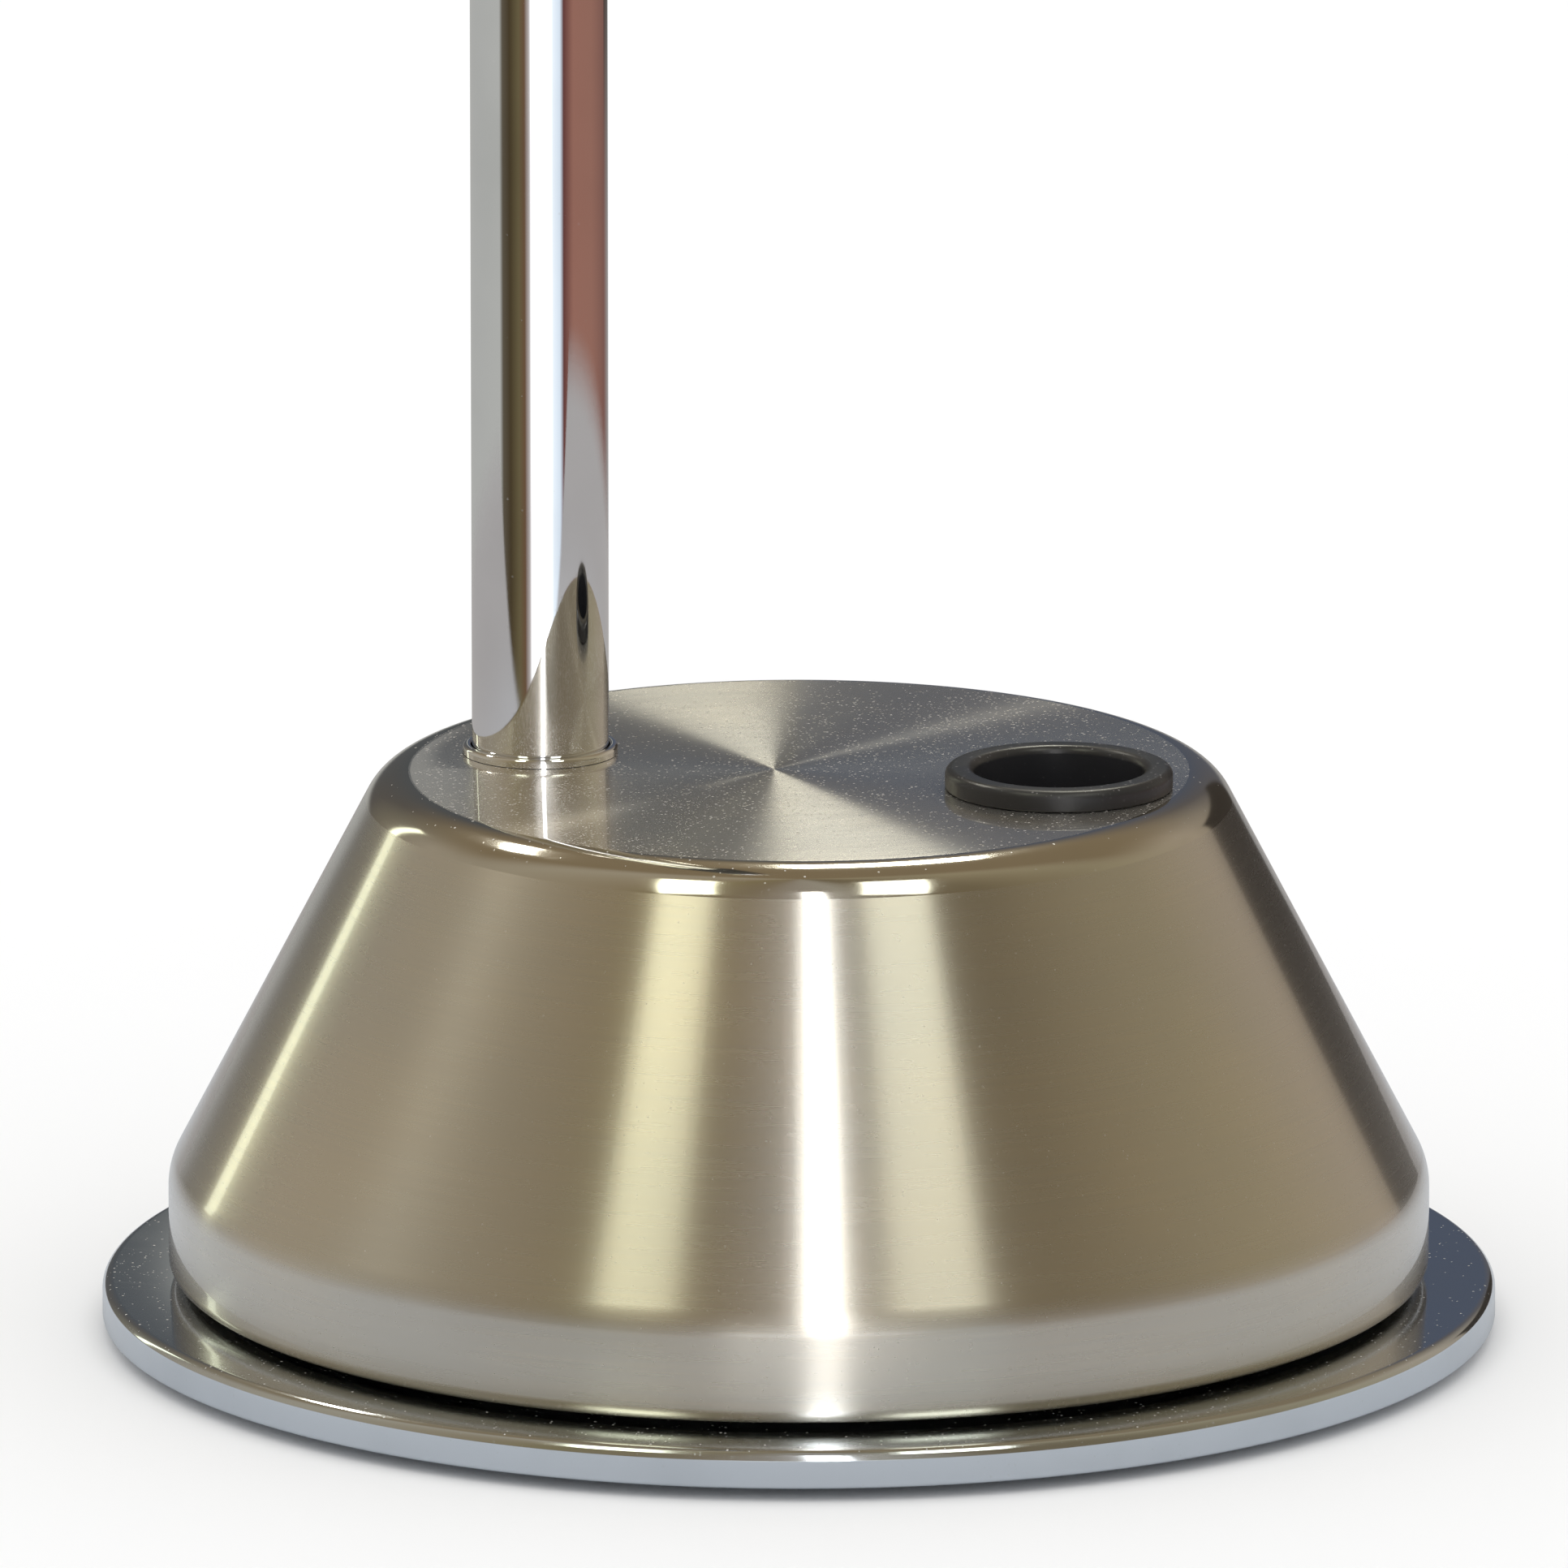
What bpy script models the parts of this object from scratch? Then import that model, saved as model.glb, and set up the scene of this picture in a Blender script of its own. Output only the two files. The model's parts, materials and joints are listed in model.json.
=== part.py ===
"""Floor door holder: a weighted, brushed-steel body that turns on a polished floor plate.

The body carries an off-centre upright for lifting and turning it, and opposite the upright a
rubber-lined socket that takes the tip of a door's drop bolt. Metres, +Z up. The origin is on the
floor, on the axis that the body turns about. The socket is on +X and the upright on -X.
"""

import math

import bmesh
import bpy
from mathutils import Vector

# ---------------------------------------------------------------- fits
TOUCH = 0.0003  # left between two faces that rest on each other
SLIP = 0.0003  # radial room around a shank, a sleeve or a plug

# ---------------------------------------------------------------- floor plate and what is under it
PLATE_MARGIN = 0.0078  # how far the plate shows outside the body
PLATE_T = 0.0045
PLATE_EDGE_R = 0.0014
FOOT_PROUD = 0.0015
FOOT_SEAT = 0.0015
FOOT_IN = 0.0095  # foot ring, in from the plate's edge
FOOT_W = 0.0120
SLIDE_IN = 0.0032  # slide ring, in from the heads of the ballast screws
SLIDE_W = 0.0100
SLIDE_T = 0.0020
SLIDE_SEAT = 0.0008

# ---------------------------------------------------------------- pivot
PIVOT_R = 0.0050
PIVOT_HEAD_R = 0.0100
PIVOT_HEAD_T = 0.0022
PIVOT_HEAD_INSET = 0.0004
PIVOT_KEY_R = 0.0035
PIVOT_KEY_DEPTH = 0.0012
PIVOT_END = 0.0018
BUSH_WALL = 0.0020
BUSH_FLANGE_R = 0.0105
BUSH_FLANGE_T = 0.0015
WASHER_R = 0.0100
WASHER_T = 0.0015
NUT_ACROSS = 0.0170
NUT_T = 0.0080
NUT_ROOM = 0.0030

# ---------------------------------------------------------------- body
RUN_GAP = 0.0009
SHELL_R = 0.0737
SHELL_H = 0.0596
SHELL_WALL = 0.0015
BAND_H = 0.0119
BAND_BLEND_R = 0.0075
TOP_FLAT_R = 0.0450
SHOULDER_R = 0.0062
CURL_R = 0.0018
LIP_W = 0.0033
CARRIER_T = 0.0040
CARRIER_ROOM = 0.0004
BALLAST_ROOM = 0.0005
BALLAST_IN = 0.0024  # the ballast's foot, in from the shell's turned-in lip

# ---------------------------------------------------------------- screws that hold the body together
SCREW_IN = 0.0100  # screw centres, in from the ballast's foot
SCREW_ANGLES = (60, 180, 300)
SCREW_R = 0.0025
SCREW_HEAD_R = 0.0048
SCREW_L = 0.0160
HEAD_INSET = 0.0003
UPRIGHT_BOLT_R = 0.0030
UPRIGHT_BOLT_HEAD_R = 0.0058
DRIVE_SHARE = 0.50
DRIVE_DEPTH = 0.0014

# ---------------------------------------------------------------- upright
UPRIGHT_R = 0.0080
UPRIGHT_WALL = 0.0015
UPRIGHT_TOP = 0.2900
UPRIGHT_SEAT = 0.0400
COLLAR_W = 0.0008
COLLAR_T = 0.0008
FOOT_PLUG_L = 0.0160
FOOT_PLUG_THREAD = 0.0120
TOP_PLUG_L = 0.0180
STUD_R = 0.0040
STUD_IN_PLUG = 0.0150
STUD_IN_KNOB = 0.0160
KNOB_R = 0.0150
KNOB_NECK_OVER = 0.0015  # the knob's neck, wider than the tube it stands on
KNOB_H = 0.0320
GRIP_WALL = 0.0032
GRIP_L = 0.1000
GRIP_BELOW_TOP = 0.0060
GRIP_END_R = 0.0012

# ---------------------------------------------------------------- socket
SOCKET_R = 0.0099
SOCKET_WALL = 0.0016
LIP_OVER = 0.00175  # how far the raised lip covers the shell round its hole
LIP_IN = 0.00025  # the lip, in from the edge of the flat top
LIP_T = 0.0022
LIP_ROUND = 0.0007
LINER_DEPTH = 0.0160
PAD_T = 0.0040
PAD_ROOM = 0.0004

# ---------------------------------------------------------------- facets
BIG_SIDES = 56
MID_SIDES = 32
SMALL_SIDES = 20

# ---------------------------------------------------------------- radii and places across the floor
PLATE_R = SHELL_R + PLATE_MARGIN
FOOT_R = PLATE_R - FOOT_IN
BALLAST_FOOT_R = SHELL_R - LIP_W - BALLAST_IN
SCREW_RING_R = BALLAST_FOOT_R - SCREW_IN
SLIDE_R = SCREW_RING_R - SCREW_HEAD_R - SLIDE_IN
LIP_R = SOCKET_R + SOCKET_WALL + LIP_OVER
SOCKET_X = TOP_FLAT_R - LIP_R - LIP_IN
UPRIGHT_X = -SOCKET_X
KNOB_NECK_R = UPRIGHT_R + KNOB_NECK_OVER

# ---------------------------------------------------------------- heights, from the floor up
PLATE_Z = FOOT_PROUD
PLATE_TOP = PLATE_Z + PLATE_T
SLIDE_Z = PLATE_TOP - SLIDE_SEAT + TOUCH
CARRIER_Z = SLIDE_Z + SLIDE_T + TOUCH
CARRIER_TOP = CARRIER_Z + CARRIER_T
SHELL_Z = PLATE_TOP + RUN_GAP
SHELL_TOP = SHELL_Z + SHELL_H
BALLAST_Z = CARRIER_TOP + TOUCH
BALLAST_TOP = SHELL_TOP - SHELL_WALL - BALLAST_ROOM
UPRIGHT_FLOOR = BALLAST_TOP - UPRIGHT_SEAT
BUSH_FLANGE_Z = CARRIER_TOP + TOUCH
WASHER_Z = BUSH_FLANGE_Z + BUSH_FLANGE_T + TOUCH
NUT_Z = WASHER_Z + WASHER_T + TOUCH
PIVOT_TOP = NUT_Z + NUT_T + PIVOT_END
SOCKET_FLOOR = CARRIER_TOP + TOUCH
LINER_Z = SHELL_TOP - LINER_DEPTH
KNOB_Z = UPRIGHT_TOP + TOUCH


# ---------------------------------------------------------------- scene and materials
def clear_scene():
    for thing in list(bpy.data.objects):
        bpy.data.objects.remove(thing)


def material(name, colour, roughness, metallic):
    made = bpy.data.materials.new(name)
    made.use_nodes = True
    shader = made.node_tree.nodes["Principled BSDF"]
    shader.inputs["Base Color"].default_value = (*colour, 1.0)
    shader.inputs["Roughness"].default_value = roughness
    shader.inputs["Metallic"].default_value = metallic
    return made


def frame_empty(name):
    empty = bpy.data.objects.new(name, None)
    bpy.context.collection.objects.link(empty)
    return empty


# ---------------------------------------------------------------- shapes
def arc(centre, radius, start, end, steps):
    """Points on an arc from one angle to another, in degrees, both ends included."""
    points = []
    for step in range(steps + 1):
        angle = math.radians(start + (end - start) * step / steps)
        points.append((centre[0] + radius * math.cos(angle), centre[1] + radius * math.sin(angle)))
    return points


def new_object(name, mesh_builder, finish=None, parent=None, at=(0.0, 0.0)):
    """An object whose origin is on its own axis, at the place given across the floor."""
    mesh = bpy.data.meshes.new(name)
    mesh_builder.to_mesh(mesh)
    mesh_builder.free()
    mesh.shade_smooth()
    mesh.set_sharp_from_angle(angle=math.radians(35))
    made = bpy.data.objects.new(name, mesh)
    bpy.context.collection.objects.link(made)
    made.location = (at[0], at[1], 0.0)
    if finish is not None:
        mesh.materials.append(finish)
    if parent is not None:
        made.parent = parent
    return made


def spun(profile, sides):
    """A solid turned about Z from (radius, height) points, closed round its loop or on the axis."""
    builder = bmesh.new()
    points = [builder.verts.new((radius, 0.0, height)) for radius, height in profile]
    edges = [builder.edges.new(pair) for pair in zip(points, points[1:])]
    if profile[0][0] > 0.0:
        edges.append(builder.edges.new((points[-1], points[0])))
    bmesh.ops.spin(
        builder,
        geom=points + edges,
        cent=(0.0, 0.0, 0.0),
        axis=(0.0, 0.0, 1.0),
        angle=math.tau,
        steps=sides,
        use_merge=True,
    )
    bmesh.ops.remove_doubles(builder, verts=builder.verts, dist=1e-7)
    bmesh.ops.dissolve_degenerate(builder, edges=builder.edges, dist=1e-7)
    bmesh.ops.recalc_face_normals(builder, faces=builder.faces)
    return builder


def ring_profile(inner, outer, bottom, top):
    return [(inner, bottom), (outer, bottom), (outer, top), (inner, top)]


def rod_profile(radius, bottom, top):
    return [(0.0, bottom), (radius, bottom), (radius, top), (0.0, top)]


def prism(sides, across, bottom, top):
    """A straight bar with flat sides, given by the distance across two of them."""
    builder = bmesh.new()
    corner = across / 2 / math.cos(math.pi / sides)
    bmesh.ops.create_circle(builder, segments=sides, radius=corner, cap_ends=True)
    bmesh.ops.translate(builder, verts=builder.verts, vec=(0.0, 0.0, bottom))
    face = list(builder.faces)
    grown = bmesh.ops.extrude_face_region(builder, geom=face)["geom"]
    raised = [item for item in grown if isinstance(item, bmesh.types.BMVert)]
    bmesh.ops.translate(builder, verts=raised, vec=(0.0, 0.0, top - bottom))
    bmesh.ops.recalc_face_normals(builder, faces=builder.faces)
    return builder


def cut(target, name, mesh_builder, at=(0.0, 0.0)):
    cutter = new_object("cut_" + name, mesh_builder, at=at)
    cutter.hide_render = True
    cutter.display_type = "WIRE"
    boolean = target.modifiers.new(name, "BOOLEAN")
    boolean.operation = "DIFFERENCE"
    boolean.solver = "EXACT"
    boolean.object = cutter


def countersunk_profile(shank, head, face, tip, room=0.0):
    """A countersunk screw pointing up from its head's flat face, or with room the hole for it."""
    start = face if room == 0.0 else face - HEAD_INSET - TOUCH
    cone = face + head - shank
    return [
        (0.0, start),
        (head + room, start),
        (head + room, face + room),
        (shank + room, cone + room),
        (shank + room, tip + room),
        (0.0, tip + room),
    ]


# ---------------------------------------------------------------- the body's outline
def cone_angle():
    """How far the cone's outward normal points above level, in degrees."""
    across = SHELL_R - TOP_FLAT_R
    down = (SHELL_Z + BAND_H) - (SHELL_TOP - SHOULDER_R)
    reach = math.hypot(across, down)
    return math.degrees(math.atan2(down, across) + math.acos(SHOULDER_R / reach))


def body_outline(inset, shoulder_steps, blend_steps):
    """Top centre, rounded shoulder, cone and the blend into the upright band, all set in by inset."""
    lean = cone_angle()
    shoulder = (TOP_FLAT_R, SHELL_TOP - SHOULDER_R)
    drop = BAND_BLEND_R * math.tan(math.radians(lean / 2))
    blend = (SHELL_R - BAND_BLEND_R, SHELL_Z + BAND_H - drop)
    points = [(0.0, SHELL_TOP - inset)]
    points += arc(shoulder, SHOULDER_R - inset, 90, lean, shoulder_steps)
    points += arc(blend, BAND_BLEND_R - inset, lean, 0, blend_steps)
    return points


# ---------------------------------------------------------------- the piece that stands on the floor
def make_base(base, finishes):
    groove_inner = FOOT_R - FOOT_W - SLIP
    groove_outer = FOOT_R + SLIP
    groove_top = PLATE_Z + FOOT_SEAT + TOUCH
    slide_inner = SLIDE_R - SLIDE_W - SLIP
    slide_outer = SLIDE_R + SLIP
    slide_floor = PLATE_TOP - SLIDE_SEAT
    head_room = PLATE_Z + PIVOT_HEAD_INSET + PIVOT_HEAD_T + TOUCH
    edge = (PLATE_R - PLATE_EDGE_R, PLATE_TOP - PLATE_EDGE_R)

    foot = ring_profile(FOOT_R - FOOT_W, FOOT_R, 0.0, PLATE_Z + FOOT_SEAT)
    new_object("foot_ring", spun(foot, BIG_SIDES), finishes["rubber"], base)

    plate = [
        (PIVOT_R + SLIP, head_room),
        (PIVOT_HEAD_R + SLIP, head_room),
        (PIVOT_HEAD_R + SLIP, PLATE_Z),
        (groove_inner, PLATE_Z),
        (groove_inner, groove_top),
        (groove_outer, groove_top),
        (groove_outer, PLATE_Z),
        (PLATE_R, PLATE_Z),
    ]
    plate += arc(edge, PLATE_EDGE_R, 0, 90, 3)
    plate += [
        (slide_outer, PLATE_TOP),
        (slide_outer, slide_floor),
        (slide_inner, slide_floor),
        (slide_inner, PLATE_TOP),
        (PIVOT_R + SLIP, PLATE_TOP),
    ]
    new_object("base_plate", spun(plate, BIG_SIDES), finishes["chrome"], base)

    slide = ring_profile(SLIDE_R - SLIDE_W, SLIDE_R, SLIDE_Z, SLIDE_Z + SLIDE_T)
    new_object("slide_ring", spun(slide, MID_SIDES), finishes["acetal"], base)

    head_z = PLATE_Z + PIVOT_HEAD_INSET
    bolt = [
        (0.0, head_z),
        (PIVOT_HEAD_R, head_z),
        (PIVOT_HEAD_R, head_z + PIVOT_HEAD_T),
        (PIVOT_R, head_z + PIVOT_HEAD_T),
        (PIVOT_R, PIVOT_TOP),
        (0.0, PIVOT_TOP),
    ]
    pivot = new_object("pivot_bolt", spun(bolt, SMALL_SIDES), finishes["steel"], base)
    key = prism(6, 2 * PIVOT_KEY_R, head_z - TOUCH, head_z + PIVOT_KEY_DEPTH)
    cut(pivot, "pivot_key", key)

    washer = ring_profile(PIVOT_R + SLIP, WASHER_R, WASHER_Z, WASHER_Z + WASHER_T)
    new_object("pivot_washer", spun(washer, SMALL_SIDES), finishes["steel"], base)

    nut = new_object("pivot_nut", prism(6, NUT_ACROSS, NUT_Z, NUT_Z + NUT_T), finishes["steel"], base)
    bore = rod_profile(PIVOT_R + SLIP, NUT_Z - TOUCH, NUT_Z + NUT_T + TOUCH)
    cut(nut, "nut_bore", spun(bore, SMALL_SIDES))


# ---------------------------------------------------------------- the body that turns
def screw_places():
    for number, angle in enumerate(SCREW_ANGLES, start=1):
        turn = math.radians(angle)
        yield number, Vector((math.cos(turn), math.sin(turn))) * SCREW_RING_R


def make_shell(body, finishes):
    bottom = SHELL_Z + CURL_R
    lip_inner = SHELL_R - LIP_W
    profile = body_outline(0.0, 5, 2)
    profile += arc((SHELL_R - CURL_R, bottom), CURL_R, 0, -90, 3)
    profile += [(lip_inner, SHELL_Z), (lip_inner, SHELL_Z + SHELL_WALL)]
    profile.append((SHELL_R - SHELL_WALL, SHELL_Z + SHELL_WALL))
    profile += reversed(body_outline(SHELL_WALL, 3, 1))
    shell = new_object("shell", spun(profile, BIG_SIDES), finishes["brushed"], body)
    below = BALLAST_TOP
    above = SHELL_TOP + 2 * SHELL_WALL
    post_hole = rod_profile(UPRIGHT_R + SLIP, below, above)
    cut(shell, "shell_upright_hole", spun(post_hole, MID_SIDES), (UPRIGHT_X, 0.0))
    socket_hole = rod_profile(SOCKET_R + SOCKET_WALL + SLIP, below, above)
    cut(shell, "shell_socket_hole", spun(socket_hole, MID_SIDES), (SOCKET_X, 0.0))


def make_ballast(body, finishes):
    nut_room_r = max(BUSH_FLANGE_R, WASHER_R, NUT_ACROSS / math.sqrt(3)) + NUT_ROOM
    nut_room_top = PIVOT_TOP + NUT_ROOM
    profile = body_outline(SHELL_WALL + BALLAST_ROOM, 3, 1)
    profile += [(BALLAST_FOOT_R, BALLAST_Z), (nut_room_r, BALLAST_Z)]
    profile += [(nut_room_r, nut_room_top), (0.0, nut_room_top)]
    ballast = new_object("ballast", spun(profile, MID_SIDES), finishes["iron"], body)
    under = BALLAST_Z - TOUCH
    over = SHELL_TOP
    tapped = rod_profile(SCREW_R + SLIP, under, CARRIER_Z + HEAD_INSET + SCREW_L + SLIP)
    for number, place in screw_places():
        cut(ballast, f"tapped_hole_{number}", spun(tapped, SMALL_SIDES), place)
    bore = rod_profile(SOCKET_R + SOCKET_WALL + SLIP, under, over)
    cut(ballast, "ballast_socket_bore", spun(bore, MID_SIDES), (SOCKET_X, 0.0))
    post = rod_profile(UPRIGHT_R + SLIP, UPRIGHT_FLOOR, over)
    cut(ballast, "ballast_upright_bore", spun(post, MID_SIDES), (UPRIGHT_X, 0.0))
    bolt = rod_profile(UPRIGHT_BOLT_R + SLIP, under, UPRIGHT_FLOOR + TOUCH)
    cut(ballast, "ballast_bolt_hole", spun(bolt, SMALL_SIDES), (UPRIGHT_X, 0.0))


def make_carrier(body, finishes):
    carrier_r = SHELL_R - LIP_W - CARRIER_ROOM
    bush_outer = PIVOT_R + SLIP + BUSH_WALL
    profile = ring_profile(bush_outer + SLIP, carrier_r, CARRIER_Z, CARRIER_TOP)
    carrier = new_object("carrier_plate", spun(profile, BIG_SIDES), finishes["steel"], body)

    face = CARRIER_Z + HEAD_INSET
    hole = countersunk_profile(SCREW_R, SCREW_HEAD_R, face, CARRIER_TOP, SLIP)
    for number, place in screw_places():
        cut(carrier, f"screw_seat_{number}", spun(hole, SMALL_SIDES), place)
    hole = countersunk_profile(UPRIGHT_BOLT_R, UPRIGHT_BOLT_HEAD_R, face, CARRIER_TOP, SLIP)
    cut(carrier, "upright_bolt_seat", spun(hole, SMALL_SIDES), (UPRIGHT_X, 0.0))

    bush = [
        (PIVOT_R + SLIP, CARRIER_Z),
        (bush_outer, CARRIER_Z),
        (bush_outer, BUSH_FLANGE_Z),
        (BUSH_FLANGE_R, BUSH_FLANGE_Z),
        (BUSH_FLANGE_R, BUSH_FLANGE_Z + BUSH_FLANGE_T),
        (PIVOT_R + SLIP, BUSH_FLANGE_Z + BUSH_FLANGE_T),
    ]
    new_object("pivot_bush", spun(bush, SMALL_SIDES), finishes["bronze"], body)


def screw(name, shank, head, face, tip, at, body, finishes):
    turned = spun(countersunk_profile(shank, head, face, tip), SMALL_SIDES)
    made = new_object(name, turned, finishes["steel"], body, at)
    drive = prism(6, 2 * shank * DRIVE_SHARE, face - TOUCH, face + DRIVE_DEPTH)
    cut(made, name + "_drive", drive, at)


def make_screws(body, finishes):
    face = CARRIER_Z + HEAD_INSET
    for number, place in screw_places():
        screw(f"ballast_screw_{number}", SCREW_R, SCREW_HEAD_R, face, face + SCREW_L, place, body, finishes)
    tip = UPRIGHT_FLOOR + FOOT_PLUG_THREAD
    screw("upright_bolt", UPRIGHT_BOLT_R, UPRIGHT_BOLT_HEAD_R, face, tip, (UPRIGHT_X, 0.0), body, finishes)


def make_upright(body, finishes):
    at = (UPRIGHT_X, 0.0)
    inner = UPRIGHT_R - UPRIGHT_WALL
    foot = UPRIGHT_FLOOR + TOUCH
    tube = ring_profile(inner, UPRIGHT_R, foot, UPRIGHT_TOP)
    new_object("upright_tube", spun(tube, MID_SIDES), finishes["chrome"], body, at)

    collar_z = SHELL_TOP + TOUCH
    collar_inner = UPRIGHT_R + SLIP
    collar = ring_profile(collar_inner, collar_inner + COLLAR_W, collar_z, collar_z + COLLAR_T)
    new_object("upright_collar", spun(collar, MID_SIDES), finishes["chrome"], body, at)

    plug_r = inner - SLIP
    thread = UPRIGHT_BOLT_R + SLIP
    thread_top = foot + FOOT_PLUG_THREAD + TOUCH
    plug = [
        (thread, foot),
        (plug_r, foot),
        (plug_r, foot + FOOT_PLUG_L),
        (0.0, foot + FOOT_PLUG_L),
        (0.0, thread_top),
        (thread, thread_top),
    ]
    new_object("upright_foot_plug", closed_on_axis(plug), finishes["steel"], body, at)

    stud_foot = UPRIGHT_TOP - STUD_IN_PLUG
    thread = STUD_R + SLIP
    plug = [
        (thread, UPRIGHT_TOP),
        (plug_r, UPRIGHT_TOP),
        (plug_r, UPRIGHT_TOP - TOP_PLUG_L),
        (0.0, UPRIGHT_TOP - TOP_PLUG_L),
        (0.0, stud_foot - TOUCH),
        (thread, stud_foot - TOUCH),
    ]
    new_object("upright_top_plug", closed_on_axis(plug), finishes["steel"], body, at)
    stud = rod_profile(STUD_R, stud_foot, KNOB_Z + STUD_IN_KNOB)
    new_object("knob_stud", spun(stud, SMALL_SIDES), finishes["steel"], body, at)

    grip_inner = UPRIGHT_R + SLIP
    grip_outer = grip_inner + GRIP_WALL
    grip_top = UPRIGHT_TOP - GRIP_BELOW_TOP
    grip_z = grip_top - GRIP_L
    middle = grip_outer - GRIP_END_R
    grip = [(grip_inner, grip_z)]
    grip += arc((middle, grip_z + GRIP_END_R), GRIP_END_R, -90, 0, 2)
    grip += arc((middle, grip_top - GRIP_END_R), GRIP_END_R, 0, 90, 2)
    grip.append((grip_inner, grip_top))
    new_object("grip_sleeve", spun(grip, MID_SIDES), finishes["rubber"], body, at)


def closed_on_axis(profile):
    """Turns a profile whose two axis points lie in its middle: it is restarted at the second one."""
    on_axis = [index for index, point in enumerate(profile) if point[0] == 0.0]
    start = on_axis[1]
    return spun(profile[start:] + profile[:start], SMALL_SIDES)


def make_knob(body, finishes):
    """A ball on a short neck, tapped from below."""
    thread = STUD_R + SLIP
    thread_top = KNOB_Z + STUD_IN_KNOB + TOUCH
    centre = KNOB_Z + KNOB_H - KNOB_R
    neck_angle = -math.degrees(math.acos(KNOB_NECK_R / KNOB_R))
    profile = [(0.0, thread_top), (thread, thread_top), (thread, KNOB_Z), (KNOB_NECK_R, KNOB_Z)]
    profile += arc((0.0, centre), KNOB_R, neck_angle, 90, 9)[:-1]
    profile.append((0.0, centre + KNOB_R))
    new_object("knob", spun(profile, MID_SIDES), finishes["chrome"], body, (UPRIGHT_X, 0.0))


def make_socket(body, finishes):
    at = (SOCKET_X, 0.0)
    outer = SOCKET_R + SOCKET_WALL
    lip_z = SHELL_TOP + TOUCH
    lip_top = lip_z + LIP_T
    lip_middle = (LIP_R + SOCKET_R) / 2
    half = (LIP_R - SOCKET_R) / 2 - LIP_ROUND
    profile = [(SOCKET_R, LINER_Z), (outer, LINER_Z), (outer, lip_z), (LIP_R, lip_z)]
    profile += arc((lip_middle + half, lip_top - LIP_ROUND), LIP_ROUND, 0, 90, 2)
    profile += arc((lip_middle - half, lip_top - LIP_ROUND), LIP_ROUND, 90, 180, 2)
    new_object("socket_bush", spun(profile, MID_SIDES), finishes["rubber"], body, at)

    sleeve = ring_profile(SOCKET_R, outer, SOCKET_FLOOR, LINER_Z - TOUCH)
    new_object("socket_sleeve", spun(sleeve, MID_SIDES), finishes["steel"], body, at)
    pad = rod_profile(SOCKET_R - PAD_ROOM, SOCKET_FLOOR, SOCKET_FLOOR + PAD_T)
    new_object("socket_pad", spun(pad, MID_SIDES), finishes["rubber"], body, at)


# ---------------------------------------------------------------- the whole object
def main():
    clear_scene()
    finishes = {
        "brushed": material("brushed_stainless", (0.42, 0.40, 0.34), 0.30, 1.0),
        "chrome": material("polished_chrome", (0.75, 0.76, 0.78), 0.06, 1.0),
        "rubber": material("black_rubber", (0.02, 0.02, 0.022), 0.55, 0.0),
        "steel": material("plain_steel", (0.45, 0.45, 0.46), 0.35, 1.0),
        "iron": material("cast_iron", (0.10, 0.10, 0.10), 0.65, 1.0),
        "acetal": material("acetal", (0.70, 0.69, 0.65), 0.40, 0.0),
        "bronze": material("bronze", (0.50, 0.33, 0.15), 0.35, 1.0),
    }
    base = frame_empty("base_frame")
    body = frame_empty("body_frame")
    body.parent = base
    make_base(base, finishes)
    make_carrier(body, finishes)
    make_shell(body, finishes)
    make_ballast(body, finishes)
    make_screws(body, finishes)
    make_upright(body, finishes)
    make_knob(body, finishes)
    make_socket(body, finishes)


main()
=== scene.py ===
"""Floor door holder, finished: a lacquered, brushed steel cone that turns on a polished plate.

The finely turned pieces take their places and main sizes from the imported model, and the small
roundings that finish them are named here. Metres, +Z up, the swivel axis at the origin.
"""

import json
import math

import bmesh
import bpy
from mathutils import Matrix, Vector


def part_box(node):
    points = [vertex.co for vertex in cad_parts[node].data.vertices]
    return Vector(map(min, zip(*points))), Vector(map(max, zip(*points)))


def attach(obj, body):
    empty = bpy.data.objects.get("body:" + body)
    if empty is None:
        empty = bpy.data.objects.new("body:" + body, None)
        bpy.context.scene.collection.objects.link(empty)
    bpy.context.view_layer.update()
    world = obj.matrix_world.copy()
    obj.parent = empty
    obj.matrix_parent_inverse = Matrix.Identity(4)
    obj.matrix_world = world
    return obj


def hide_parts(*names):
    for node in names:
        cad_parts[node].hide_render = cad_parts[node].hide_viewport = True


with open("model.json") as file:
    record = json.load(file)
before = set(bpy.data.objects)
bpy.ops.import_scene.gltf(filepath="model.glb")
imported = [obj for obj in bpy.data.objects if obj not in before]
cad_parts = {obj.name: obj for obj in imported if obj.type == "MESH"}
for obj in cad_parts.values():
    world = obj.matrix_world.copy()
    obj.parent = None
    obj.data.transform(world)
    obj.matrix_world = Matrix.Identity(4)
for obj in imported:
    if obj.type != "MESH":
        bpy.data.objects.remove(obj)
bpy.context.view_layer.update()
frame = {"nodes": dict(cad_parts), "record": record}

# ---------------------------------------------------------------- sizes
MM = 0.001
BIG_SIDES = 288
SMALL_SIDES = 120

SHELL_WALL = 1.5 * MM
FLAT_R = 45.0 * MM
SHOULDER_R = 6.2 * MM
BAND_H = 11.9 * MM
BAND_BLEND_R = 7.5 * MM
CURL_R = 1.8 * MM
LIP_W = 3.3 * MM
BRUSHING_OFF_CENTRE = 2.9 * MM

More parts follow.
